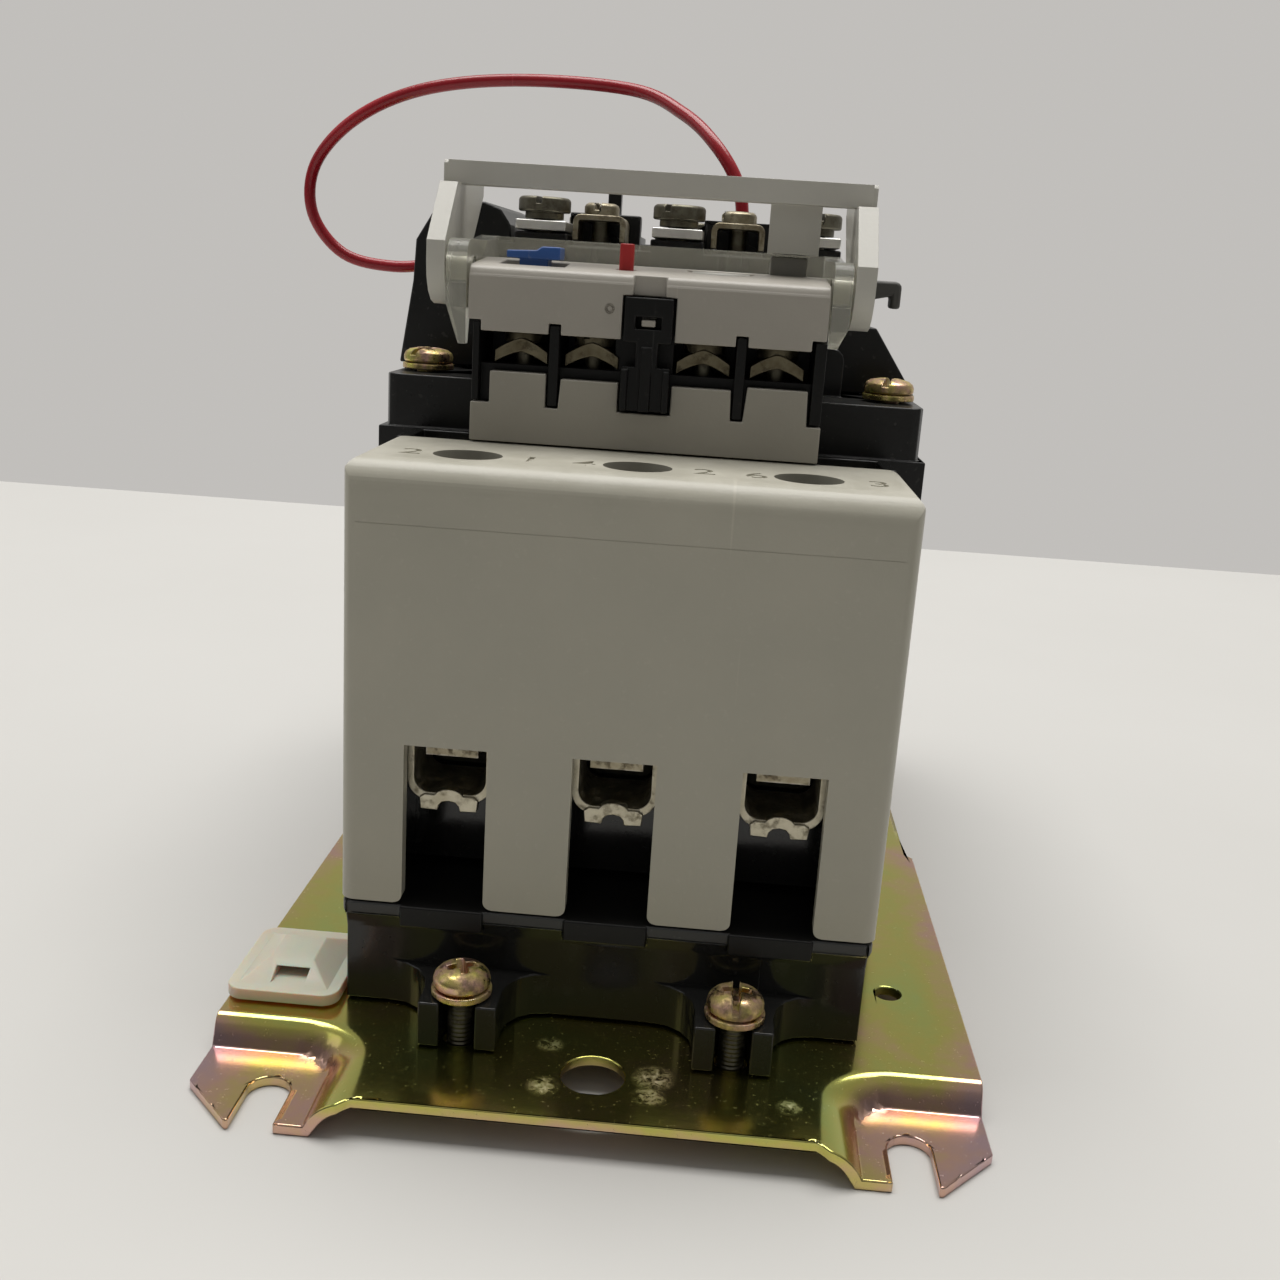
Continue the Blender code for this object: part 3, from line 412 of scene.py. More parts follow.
# %% Clear plastic
CLEAR, tree, shader = open_material("yellowed_clear")
tone = use(tree, MOTTLE, Light=(0.96, 0.955, 0.88), Dark=(0.90, 0.89, 0.79), Scale=50.0, Spread=0.3)
film = use(tree, DUST, Color=tone["Color"], Dust=(0.62, 0.60, 0.52), Amount=0.35, Specks=0.3)
pebble = use(tree, GRAIN, Scale=700.0, Waviness=1.0)["Height"]
fill(shader, {"Transmission Weight": 0.80, "IOR": 1.25, "Base Color": film["Color"],
              "Roughness": remap(tree, film["Mask"], 0.0, 1.0, 0.09, 0.5),
              "Normal": relief_of(tree, pebble, 0.06, GRAIN_DEPTH)})
print("clear:", CLEAR.name)

# %% [markdown]
# ## Yellow chromate
# Passivated zinc shows gold, olive and pink clouds, because the film's thickness drifts from place to
# place. A slow noise picks the colour, a finer one breaks it up, and the metal under it is quite bright.

# %% Chromate group
CHROMATE, ins, out = open_group("chromate_bloom", {"Scale": 26.0, "Shift": 0.0, "Swing": 1.0}, ["Color", "Value"])
spots = object_space(CHROMATE)
drift = calc(CHROMATE, "MULTIPLY", noise(CHROMATE, spots, ins["Scale"], 3.0, Distortion=0.5), ins["Swing"])
small = calc(CHROMATE, "MULTIPLY", noise(CHROMATE, spots, 500.0, 4.0), 0.25)
film = calc(CHROMATE, "ADD", calc(CHROMATE, "ADD", drift, small), ins["Shift"], True)
bands = ramp(CHROMATE, film, [(0.0, (0.46, 0.60, 0.30)), (0.30, (0.52, 0.58, 0.16)), (0.50, (0.60, 0.55, 0.14)),
                              (0.66, (0.66, 0.50, 0.22)), (0.80, (0.68, 0.43, 0.33)), (1.0, (0.58, 0.40, 0.42))])
fill(out, {"Color": bands, "Value": film})
print("group:", CHROMATE.name)


# %% [markdown]
# ## Metals
# Plated and unplated metals share a second recipe: a tone that varies, a roughness that varies with it, rolling
# or turning marks in the relief, edges that turn paler, partly as worn plating and partly as a painted
# highlight, and dirt that kills the metal where it lies.

# %% Metal recipe
def metal(name, tone_of, rough, grime, spread=0.10, relief=0.05, marks=(60.0, 900.0, 900.0),
          bare=(0.72, 0.70, 0.66), soil=(0.13, 0.105, 0.075), soil_scale=330.0, soil_from=0.52, smudge=None):
    made, tree, shader = open_material(name)
    tone = tone_of(tree)
    edge = use(tree, EDGE_WEAR_AND_HIGHLIGHT, Radius=0.0005, Gain=2.0, Breakup=400.0)["Mask"]
    # Edges turn to the pale edge tone: worn plating, and also a painted highlight.
    colour = mix(tree, edge, tone["Color"], bare)
    spots = object_space(tree)
    dirt = noise(tree, spots, soil_scale, 5.0, Roughness=0.7)
    soiled = dirt = remap(tree, dirt, soil_from, soil_from + 0.22, 0.0, grime)
    if smudge:
        film = smudge(tree)
        colour = mix(tree, film, colour, (0.70, 0.68, 0.60))
        dirt = calc(tree, "ADD", dirt, film, True)
        soiled = calc(tree, "SUBTRACT", dirt, film, True)
    shine = remap(tree, tone["Value"], 0.0, 1.0, rough, rough + spread)
    rolled = add(tree, "Mapping", {"Vector": spots, "Scale": marks}).outputs[0]
    lines = noise(tree, rolled, 1.0, 3.0)
    fill(shader, {"Base Color": mix(tree, soiled, colour, soil), "Metallic": calc(tree, "SUBTRACT", 1.0, dirt),
                  "Roughness": calc(tree, "ADD", shine, dirt, True),
                  "Normal": relief_of(tree, lines, relief, 0.1 * MM)})
    return made


def mottled(light, dark, scale=160.0):
    return lambda tree: use(tree, MOTTLE, Light=light, Dark=dark, Scale=scale, Spread=0.2)


# %% Chromate on the plate
PLATE = {"half": 56.6, "front": -25.5, "rear": 164.5, "top": 5.8, "sheet": 1.6}
SMEARS = [(9.0, -13.0, 3.4), (8.6, -17.4, 2.6), (-6.5, -6.8, 2.2), (-6.3, -17.2, 2.6), (28.0, -17.0, 2.0)]


def paste_marks(tree):
    """Dried white smears beside the fixing holes, and a faint haze over the whole sheet."""
    spots = object_space(tree)
    torn = remap(tree, noise(tree, spots, 800.0, 6.0, Roughness=0.75, Distortion=0.6), 0.42, 0.66)
    total = None
    for x, y, reach in SMEARS:
        middle = tuple(at(x, y, PLATE["top"]))
        away = add(tree, "VectorMath", {0: spots, 1: middle}, operation="DISTANCE").outputs["Value"]
        near = remap(tree, away, reach * MM, reach * 0.2 * MM, 0.0, 0.60)
        total = calc(tree, "MAXIMUM", total, near) if total else near
    return calc(tree, "ADD", calc(tree, "MULTIPLY", total, torn), 0.010)


def plate_tone(tree):
    """The film thins to pink where the sheet was pressed down and along its long edges."""
    place = add(tree, "SeparateXYZ", {0: object_space(tree)}).outputs
    rim = remap(tree, calc(tree, "ABSOLUTE", place["X"]), 0.050, PLATE["half"] * MM, 0.0, 0.22)
    sunk = remap(tree, place["Z"], 0.0056, 0.0030, 0.0, 0.40)
    shift = calc(tree, "SUBTRACT", calc(tree, "ADD", rim, sunk), 0.33)
    return use(tree, CHROMATE, Scale=38.0, Shift=shift, Swing=1.25)


def screw_tone(tree):
    return use(tree, CHROMATE, Scale=420.0, Shift=0.06, Swing=0.95)


PLATE_FINISH = metal("chromate_plate", plate_tone, 0.13, 0.32, spread=0.06, relief=0.06, soil=(0.30, 0.28, 0.22),
                     soil_scale=1500.0, soil_from=0.60, bare=(0.60, 0.56, 0.42), smudge=paste_marks)
SCREW = metal("chromate_screw", screw_tone, 0.20, 0.75, relief=0.07, marks=(200.0, 200.0, 3000.0),
              soil=(0.10, 0.07, 0.04), soil_from=0.44, bare=(0.62, 0.54, 0.40))
print("chromate finishes:", PLATE_FINISH.name, SCREW.name)

# %% Metal finishes
TARNISHED = metal("tarnished_plating", mottled((0.46, 0.42, 0.31), (0.24, 0.20, 0.13), 420.0), 0.36, 0.75,
                  relief=0.12, soil=(0.12, 0.085, 0.05), soil_scale=600.0)
# Dull aged steel for screw heads; on the relay screws' threads the same dark finish is a painted shade.
AGED_AND_SHADED = metal("aged_and_shaded_screw_steel", mottled((0.20, 0.19, 0.145), (0.10, 0.09, 0.065), 420.0), 0.40, 0.70,
             relief=0.12, soil=(0.07, 0.055, 0.04), soil_scale=600.0, bare=(0.42, 0.40, 0.33))
SADDLE = metal("browned_saddles", mottled((0.26, 0.23, 0.155), (0.12, 0.10, 0.06), 300.0), 0.42, 0.75,
               relief=0.12, soil=(0.08, 0.06, 0.035), soil_scale=500.0, bare=(0.42, 0.38, 0.28))
CLAMP = metal("clamp_plating", mottled((0.64, 0.60, 0.48), (0.40, 0.36, 0.26), 300.0), 0.36, 0.60, relief=0.12,
              soil=(0.16, 0.12, 0.07), soil_scale=500.0)
TINNED = metal("tinned_bar", mottled((0.95, 0.94, 0.91), (0.84, 0.83, 0.79)), 0.28, 0.12)
COPPER = metal("bare_copper", mottled((0.72, 0.40, 0.25), (0.52, 0.27, 0.16)), 0.28, 0.3)
IRON = metal("ground_iron", mottled((0.42, 0.42, 0.43), (0.30, 0.30, 0.31)), 0.35, 0.3,
             marks=(2500.0, 40.0, 40.0))
print("metals:", [m.name for m in (TARNISHED, AGED_AND_SHADED, SADDLE, CLAMP, TINNED, COPPER, IRON)])

# %% [markdown]
# ## Wire insulation
# Soft PVC is glossy, a little uneven in tone, and picks up scuffs.

# %% Insulation
PVC = moulding("red_insulation", (0.40, 0.016, 0.026), (0.29, 0.010, 0.018), rough=0.24, grain=0.10, dust=0.05,
               specks=0.06, rub_and_highlight=0.0, scratch=0.4, dust_tone=(0.50, 0.25, 0.25), Coat_Weight=0.05,
               Specular_IOR_Level=0.38)
jumper.data.materials.append(PVC)
print("insulation:", PVC.name)

# %% [markdown]
# ## Table top
# Plain pale paint, with the faintest unevenness, so the object stays the only thing to look at.

# %% Table material
PALE, tree, shader = open_material("pale_table")
tone = use(tree, MOTTLE, Light=(0.59, 0.582, 0.562), Dark=(0.565, 0.557, 0.536), Scale=7.0, Spread=0.3)
fill(shader, {"Base Color": tone["Color"], "Roughness": 0.55})
floor.data.materials.append(PALE)
print("table:", PALE.name)

# %% [markdown]
# ## Sky
# What the lens sees behind the table is a plain pale wall. What lights the object is the same room, paler
# behind and overhead than in front. A Light Path node tells the two apart.

# %% World
world = bpy.data.worlds.new("room")
bpy.context.scene.world = world
world.use_nodes = True
tree = world.node_tree
way = add(tree, "SeparateXYZ", {0: add(tree, "TexCoord").outputs["Generated"]}).outputs
room = ramp(tree, remap(tree, way["Y"], -1.0, 1.0),
            [(0.0, (0.085, 0.083, 0.08)), (0.45, (0.12, 0.118, 0.115)), (0.75, (0.45, 0.44, 0.42)),
             (1.0, (0.52, 0.51, 0.49))])
around = mix(tree, remap(tree, way["Z"], 0.22, 0.65), room, (0.32, 0.315, 0.305))
seen = mix(tree, add(tree, "LightPath").outputs["Is Camera Ray"], around, (0.535, 0.520, 0.500))
fill(tree.nodes["Background"], {"Color": seen, "Strength": 1.0})
print("world:", world.name)


# %% [markdown]
# ## From CAD solid to finished piece
# The CAD solids have the right shape and place, but knife-sharp edges. Each visible one is copied, its loose
# triangles are merged into flat faces again, and a Bevel modifier rounds its edges by a few tenths of a
# millimetre. That thin rounded edge catches the light and is most of what makes a moulding look real.

# %% Refining helper
body_of = {n: body for body, members in frame["record"]["behaviour"]["bodies"].items() for n in members}


def as_piece(name, node, bm, finish, width=0.0, angle=35.0, segments=2, clamped=False):
    """The shape stands for a CAD node from here on: on its body, with rounded edges."""
    for face in bm.faces:
        face.smooth = True
    mesh = bpy.data.meshes.new(name)
    bm.to_mesh(mesh)
    bm.free()
    mesh.set_sharp_from_angle(angle=math.radians(angle))
    made = placed(name, mesh)
    mesh.materials.append(finish)
    if width:
        soften = made.modifiers.new("soften", "BEVEL")
        soften.width, soften.segments = width * MM, segments
        soften.limit_method, soften.angle_limit = "ANGLE", math.radians(angle)
        soften.use_clamp_overlap = clamped
        made.modifiers.new("even", "WEIGHTED_NORMAL").keep_sharp = True
    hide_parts(node)
    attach(made, body_of[node])
    return made


def merged_copy(node):
    bm = bmesh.new()
    bm.from_mesh(frame["nodes"][node].data)
    bmesh.ops.remove_doubles(bm, verts=bm.verts, dist=2e-6)
    bmesh.ops.dissolve_limit(bm, angle_limit=math.radians(0.6), verts=bm.verts, edges=bm.edges)
    return bm


def refined(node, finish, width, clamped=False):
    return as_piece(node + "_finished", node, merged_copy(node), finish, width, clamped=clamped)


def paint(piece, finish, chosen):
    """Faces whose centre, in caliper millimetres, passes the test take another finish."""
    piece.data.materials.append(finish)
    index = len(piece.data.materials) - 1
    for polygon in piece.data.polygons:
        c = polygon.center
        if chosen(c.x / MM, (c.y - SHROUD_FRONT) / MM, c.z / MM):
            polygon.material_index = index


print("bodies:", sorted(set(body_of.values())))

# %% [markdown]
# ## Plain mouldings and stampings
# Most pieces need nothing more than their own edge radius and finish. Thick mouldings get a rounder edge
# than thin ones, and stamped metal a tight one.

# %% Refined pieces
FINISHES = {
    "relay_housing": (BLACK, 0.25), "relay_body": (SHADED_GREY_BODY, 0.18), "latch": (DEAD_BLACK, 0.18),
    "reset_button": (BLUE, 0.2), "trip_pin": (RED, 0.2), "stop_button": (STOP_GREY, 0.25),
    "clear_guard": (CLEAR, 0.2), "contactor_top": (BODY_BLACK, 0.3), "aux_module": (BODY_BLACK, 0.35),
    "side_hook": (SLATE, 0.5), "relay_base": (BLACK, 0.25), "contact_carrier": (RIM, 0.3), "coil": (RIM, 0.4),
}
for i in (1, 2, 3):
    FINISHES[f"load_contact_{i}"] = FINISHES[f"line_contact_{i}"] = (TINNED, 0.2)
pieces = {node: refined(node, finish, width, clamped=node == "clear_guard")
          for node, (finish, width) in FINISHES.items()}
RIM_FLOOR, MOUTH = 20.0, 6.3  # the rim starts at this height, and a wire mouth is this wide each way


def off_pole(x):
    return min(abs(x - pole) for pole in POLES)


# The rim strip between the mouths is lighter than the glossy black body: partly its own colour, partly a painted
# reflection.
paint(pieces["relay_base"], RIM, lambda x, y, z: z > RIM_FLOOR and off_pole(x) > MOUTH)
# The tabs and the floor of each wire mouth take the dimmer matt black: the tabs' own black, and inside the mouths
# a painted shade.
paint(pieces["relay_base"], DEAD_BLACK, lambda x, y, z: z > RIM_FLOOR and off_pole(x) <= MOUTH)
print("refined:", len(pieces))

# %% Inner pieces keep their CAD shape
inner = {"armature": IRON, "magnet_core": IRON, "return_spring": TARNISHED, "trip_slider": NYLON}
for i in (1, 2, 3):
    inner.update({f"load_screw_{i}": SCREW, f"heater_{i}": TARNISHED, f"bridge_{i}": COPPER})
for node, finish in inner.items():
    data = frame["nodes"][node].data
    data.materials.clear()
    data.materials.append(finish)
print("inner pieces painted")

# %% [markdown]
# ## Shapes from a few corners
# Many pieces are an outline carried along one axis. One helper makes a face from the outline's corners and
# extrudes it. A second turns a profile about an upright axis with the spin operator. A third cuts one
# closed shape out of another with a Boolean, or joins them, and keeps the result as plain mesh.

# %% Shape helpers
AXES = {"X": lambda a, b, t: at(t, a, b), "Y": lambda a, b, t: at(a, t, b), "Z": at}


def arc(centre, radius, start, stop, steps=8):
    angles = [math.radians(start + (stop - start) * i / steps) for i in range(steps + 1)]
    return [(centre[0] + radius * math.cos(a), centre[1] + radius * math.sin(a)) for a in angles]


def pushed(bm, axis, low, high, made):
    verts = [g for g in made["geom"] if isinstance(g, bmesh.types.BMVert)]
    bmesh.ops.translate(bm, vec=AXES[axis](0, 0, high) - AXES[axis](0, 0, low), verts=verts)


def extruded(bm, axis, outline, low, high):
    """The outline is in the two other axes, in X, Y, Z order."""
    face = bm.faces.new([bm.verts.new(AXES[axis](a, b, low)) for a, b in outline])
    pushed(bm, axis, low, high, bmesh.ops.extrude_face_region(bm, geom=[face], use_keep_orig=True))
    bmesh.ops.recalc_face_normals(bm, faces=bm.faces)


def block(bm, xs, ys, zs):
    extruded(bm, "Z", [(xs[0], ys[0]), (xs[1], ys[0]), (xs[1], ys[1]), (xs[0], ys[1])], *zs)


def turned(bm, x, y, profile, steps=64):
    """A profile of (radius, height) points, turned about the upright axis through x, y."""
    line = [bm.verts.new(at(x + r, y, z)) for r, z in profile]
    edges = [bm.edges.new(pair) for pair in zip(line, line[1:])]
    bmesh.ops.spin(bm, geom=line + edges, cent=at(x, y, 0), axis=(0, 0, 1), angle=math.tau, steps=steps,
                   use_merge=True)
    bmesh.ops.remove_doubles(bm, verts=bm.verts, dist=1e-6)
    bmesh.ops.recalc_face_normals(bm, faces=bm.faces)


def drilled(bm, axis, centre, radius, low, high, steps=32):
    extruded(bm, axis, arc(centre, radius, 0, 360 - 360 / steps, steps - 1), low, high)


def turned_by(bm, x, y, degrees, verts):
    bmesh.ops.rotate(bm, cent=at(x, y, 0), matrix=Matrix.Rotation(math.radians(degrees), 3, "Z"), verts=verts)


def combined(bm, tool, operation="DIFFERENCE"):
    """Cuts the tool's shapes out of bm, or joins or meets them, and gives the result back."""
    held = []
    for shape in (bm, tool):
        mesh = bpy.data.meshes.new("held")
        shape.to_mesh(mesh)
        shape.free()
        held.append(placed("held", mesh))
    step = held[0].modifiers.new("combine", "BOOLEAN")
    step.operation, step.solver, step.object, step.use_self = operation, "EXACT", held[1], True
    bpy.context.view_layer.update()
    result = held[0].evaluated_get(bpy.context.evaluated_depsgraph_get()).to_mesh()
    out = bmesh.new()
    out.from_mesh(result)
    for one in held:
        mesh = one.data
        bpy.data.objects.remove(one)
        bpy.data.meshes.remove(mesh)
    return out


print("shape helpers ready")

# %% [markdown]
# ## The mounting plate
# A rectangle of sheet steel with each corner pressed down into a foot. A fine grid is moved down by a smooth
# step around every foot, which is what the press does, then the sheet gets its thickness and the shears and
# punches are Boolean cuts. Rows of the grid are gathered near the feet, where the sheet bends most.

# %% Pressed sheet
FOOT = {"centre": (44.0, -14.5), "low": (6.3, 6.0), "high": (12.5, 8.5)}


def pressed(x, y):
    """Share of the foot's depth at this point of the sheet: 0 on the deck, 1 on a foot."""
    y = min(y, PLATE["front"] + PLATE["rear"] - y)
    a, b = max(FOOT["centre"][0] - abs(x), 0.0), max(y - FOOT["centre"][1], 0.0)
    inner = math.hypot(a / FOOT["low"][0], b / FOOT["low"][1])
    outer = math.hypot(a / FOOT["high"][0], b / FOOT["high"][1])
    t = 1.0 if inner <= 1 else 0.0 if outer >= 1 else (1 - outer) / ((1 - outer) + (inner - 1))
    return t ** 1.5


def gathered(u, reach, fine):
    """From -1..1 to -reach..reach, with 85% of the rows in the last fine millimetres at each end."""
    share = abs(u)
    inner = (reach - fine) * share / 0.15 if share < 0.15 else reach - fine + fine * (share - 0.15) / 0.85
    return math.copysign(inner, u)


sheet = bmesh.new()
bmesh.ops.create_grid(sheet, x_segments=84, y_segments=84, size=1.0)
length = PLATE["rear"] - PLATE["front"]
middle = (PLATE["rear"] + PLATE["front"]) / 2
for v in sheet.verts:
    x, y = gathered(v.co.x, PLATE["half"], 28.0), middle + gathered(v.co.y, length / 2, 24.0)
    v.co = at(x, y, PLATE["sheet"] + (PLATE["top"] - PLATE["sheet"]) * (1 - pressed(x, y)))
bmesh.ops.recalc_face_normals(sheet, faces=sheet.faces)
if sheet.faces[0].normal.z < 0:
    bmesh.ops.reverse_faces(sheet, faces=sheet.faces)
bmesh.ops.solidify(sheet, geom=sheet.verts[:] + sheet.edges[:] + sheet.faces[:], thickness=PLATE["sheet"] * MM)
print("sheet:", len(sheet.faces), "faces")

# %% Shears and punches
THROUGH = (-3, 10)
FIXING_X, FIXING_Y = 19.9, -6.8
NIBBLE = [(55.2, 73.5), (56.6, 72), (60, 72), (60, 128), (56.6, 128), (55.2, 126.5)]
punch = bmesh.new()
for end in (0, 1):
    def flip(points):
        return [(x, PLATE["front"] + PLATE["rear"] - y if end else y) for x, y in points]

    edge = [(-34.5, -29), (34.5, -29), (33.2, -25.5), (31.5, -24.2), (-31.5, -24.2), (-33.2, -25.5)]
    extruded(punch, "Z", flip(edge), *THROUGH)
    for side in (-1, 1):
        extruded(punch, "Z", flip([(side * 48.2, -26), (side * 64, -29), (side * 60, -13.6)]), *THROUGH)
        slot = [(side * 45 + 3.1, -29)] + arc((side * 45, -17.9), 3.1, 0, 180, 16) + [(side * 45 - 3.1, -29)]
        extruded(punch, "Z", flip(slot), *THROUGH)
for side in (-1, 1):
    extruded(punch, "Z", [(side * x, y) for x, y in NIBBLE], *THROUGH)
    drilled(punch, "Z", (side * FIXING_X, FIXING_Y), 2.4, *THROUGH)
drilled(punch, "Z", (0.4, -13.5), 4.6, *THROUGH, 56)
drilled(punch, "Z", (45.4, 17.0), 2.1, *THROUGH)
drilled(punch, "Z", (0.0, 158.0), 4.6, *THROUGH, 56)
bmesh.ops.recalc_face_normals(punch, faces=punch.faces)
mounting_plate = as_piece("pressed_plate", "mounting_plate", combined(sheet, punch), PLATE_FINISH, 0.22, 40.0)
print("plate:", len(mounting_plate.data.polygons), "faces")

# %% [markdown]
# ## Combination screws with a captive washer
# The relay's fixing screws are cheese heads with a plain washer, made by turning a profile. The recess takes
# either a cross or a flat driver, so it is four tapered wings and one long slot cut from the crown. Below
# the plate hole the thread shows, so it is turned too, as a row of crests, and it takes the dark aged finish as
# a painted shade, for it stands in shadow under the relay.

# %% Screw helper
def recess(x, y, top, size, slot, turn, depth=1.7, wings=0.42, cut=1.35):
    tool = bmesh.new()
    if wings:
        for quarter in (0, 90):
            before = set(tool.verts)
            block(tool, (x - size, x + size), (y - wings, y + wings), (top - depth, top + 2))
            fresh = [v for v in tool.verts if v not in before]
            for v in fresh:
                if v.co.z < (top - depth + 0.01) * MM:
                    v.co.x = x * MM + (v.co.x - x * MM) * 0.35
            turned_by(tool, x, y, quarter, fresh)
    if slot:
        block(tool, (x - slot, x + slot), (y - 0.5, y + 0.5), (top - cut, top + 2))
    turned_by(tool, x, y, turn, tool.verts[:])
    return tool


def screw(node, x, y, profile, size, slot, turn, finish=SCREW, **driver):
    bm = bmesh.new()
    turned(bm, x, y, profile)
    bm = combined(bm, recess(x, y, profile[-1][1], size, slot, turn, **driver))
    return as_piece(node + "_turned", node, bm, finish, 0.10, 30.0)


def threaded(radius, low, high, pitch=0.7, depth=0.28):
    """Crests and roots of a thread, as a profile from its tip upwards."""
    count = int((high - low) / pitch)
    line = [(0.0, low)]
    for i in range(count):
        z = low + pitch * i
        line += [(radius - depth, z + 0.05), (radius, z + pitch / 2)]
    return line + [(radius - depth, low + pitch * count)]


print("screw helper ready")

# %% Relay fixing screws
RELAY_SEAT, FLANGE_SEAT = 13.3, 97.8  # heights that the washers lie at
relay_head = [(4.3, 0.0), (4.4, 0.1), (4.4, 0.85), (4.25, 0.95), (3.3, 1.0), (3.3, 1.15), (3.9, 1.2), (4.12, 1.5),
              (4.15, 2.3), (3.95, 2.9), (3.4, 3.5), (2.6, 3.95), (1.5, 4.2), (0.0, 4.3)]
profile = threaded(2.0, 2.4, RELAY_SEAT) + [(r, RELAY_SEAT + z) for r, z in relay_head]
for node, side, turn, slot in (("relay_screw_l", -1, 24, 0), ("relay_screw_r", 1, 90, 4.6)):
    made = screw(node, side * FIXING_X, FIXING_Y, profile, 3.4, slot, turn, wings=0.62, depth=2.2, cut=2.2)
    # The thread below the washer takes the dark aged finish as a painted shade.
    paint(made, AGED_AND_SHADED, lambda x, y, z: z < RELAY_SEAT - 0.1)
    print(node, "turned")

# %% Flange screws
flange_head = [(1.9, 0.0), (4.2, 0.0), (4.3, 0.1), (4.3, 0.8), (4.15, 0.95), (3.2, 1.0), (3.2, 1.1), (3.9, 1.15),
               (4.12, 1.4), (4.15, 2.1), (3.9, 2.7), (3.2, 3.2), (1.8, 3.5), (0.0, 3.6)]
profile = [(0.0, 86.0), (1.9, 86.0)] + [(r, FLANGE_SEAT + z) for r, z in flange_head]
for node, x, turn in (("flange_screw_l", -39.0, 62), ("flange_screw_r", 39.0, 75)):
    screw(node, x, 50.0, profile, 2.3, 4.6, turn, depth=1.6)
    print(node, "turned")


# %% [markdown]
# ## Terminal screws with a lifting saddle
# Under each auxiliary and coil screw sits a bent strip that clamps the wire. The coil's strips are a line of
# points extruded across the pole and given a thickness. The auxiliary ones are closed outlines, thicker in
# the middle than at the feet. The screw is turned on top.

# %% Saddle helper
def saddle(bm, line, low, high, thick):
    verts = [bm.verts.new(at(x, low, z)) for x, z in line]
    edges = [bm.edges.new(pair) for pair in zip(verts, verts[1:])]
    pushed(bm, "Y", low, high, bmesh.ops.extrude_edge_only(bm, edges=edges))
    strip = bm.faces[:]
    bmesh.ops.recalc_face_normals(bm, faces=strip)
    if sum(f.normal.z for f in strip) < 0:
        bmesh.ops.reverse_faces(bm, faces=strip)
    bmesh.ops.solidify(bm, geom=bm.verts[:] + bm.edges[:] + strip, thickness=thick * MM)
    bmesh.ops.recalc_face_normals(bm, faces=bm.faces)


def beside(bm, other):
    """Puts another bmesh's shapes next to the ones already there."""
    mesh = bpy.data.meshes.new("held")
    other.to_mesh(mesh)
    other.free()
    bm.from_mesh(mesh)
    bpy.data.meshes.remove(mesh)


def clamp_terminal(node, x, y, line, depths, thick, profile, turn, finish, shank):
    """A strip of no thickness is a closed outline. Below the height of shank the screw is painted darker."""
    bm = bmesh.new()
    if thick:
        saddle(bm, line, *depths, thick)
    else:
        extruded(bm, "Y", line, *depths)
    head = bmesh.new()
    turned(head, x, y, profile, 48)
    head = combined(head, recess(x, y, profile[-1][1], 2.0, 3.6, turn, 1.2))
    beside(bm, head)
    made = as_piece(node + "_bent", node, bm, finish, 0.12, 30.0)
    paint(made, AGED_AND_SHADED, lambda cx, cy, cz: math.hypot(cx - x, cy - y) < 1.8 and cz < shank)


print("saddle helper ready")

# %% Auxiliary terminals
profile = [(0.0, 96.0), (1.6, 96.0), (1.6, 104.2), (3.0, 104.2), (3.2, 104.4), (3.2, 105.7), (3.0, 106.2),
           (2.5, 106.6), (1.4, 106.85), (0.0, 106.9)]
HALF_SPAN, SAG = 4.1, 1.4  # half the strip's width, and how sharply it falls towards its ends
for i, (x, turn) in enumerate(((-20.0, 15), (-9.1, 70), (8.0, 40), (19.3, 5)), 1):
    arch = [(x + HALF_SPAN * k / 8, 105.0 - 2.0 * abs(k / 8) ** SAG) for k in range(8, -9, -1)]
    under = [(x + HALF_SPAN * k / 8, 102.9 - 1.7 * abs(k / 8) ** SAG) for k in range(-8, 9)]
    clamp_terminal(f"aux_terminal_{i}", x, 32.4, arch + under, (28.6, 36.4), 0.0, profile, turn, SADDLE, 102.7)
print("auxiliary terminals bent")

# %% Coil terminals
profile = [(0.0, 111.0), (1.6, 111.0), (1.6, 124.7), (2.9, 124.7), (3.1, 124.9), (3.1, 126.4), (2.9, 126.8),
           (2.4, 127.1), (0.0, 127.2)]
for i, (x, turn) in enumerate(((-12.4, 80), (11.9, 20)), 1):
    low, high = x - 4.65, x + 4.65
    arch = ([(low, 120.6), (low, 123.6)] + arc((low + 1.4, 123.6), 1.4, 180, 90, 5)[1:]
            + arc((high - 1.4, 123.6), 1.4, 90, 0, 5) + [(high, 120.6)])
    clamp_terminal(f"coil_terminal_{i}", x, 67.8, arch, (63.6, 72.4), 1.0, profile, turn, TARNISHED, 123.5)
print("coil terminals bent")

# %% [markdown]
# ## Main terminal screws
# Large cheese heads with a cross and a long slot, dull from years of tightening, each over a washer.

# %% Main screws
profile = [(0.0, 108.0), (1.9, 108.0), (1.9, 123.8), (3.3, 123.8), (3.4, 123.9), (3.4, 124.85), (3.3, 124.95),
           (4.4, 125.0), (4.6, 125.2), (4.6, 126.9), (4.45, 127.25), (4.1, 127.5), (0.0, 127.6)]
for group, y in (("main", 66.4), ("line", 143.6)):
    for i, (x, turn) in enumerate(((-22.4, 84), (1.4, 65), (25.2, 100)), 1):
        screw(f"{group}_screw_{i}", x, y, profile, 2.4, 5.2, turn, AGED_AND_SHADED, depth=1.5)
print("main screws turned")

# %% [markdown]
# ## Terminal shroud
# The grey front cover is a thin-walled box, open below and behind, with three wire mouths and three driver
# holes. It is the meeting of three outlines: one seen from the side with the large radius along the top
# front edge, one from the front, and one from above. The inside, the mouths and the holes are cut away.

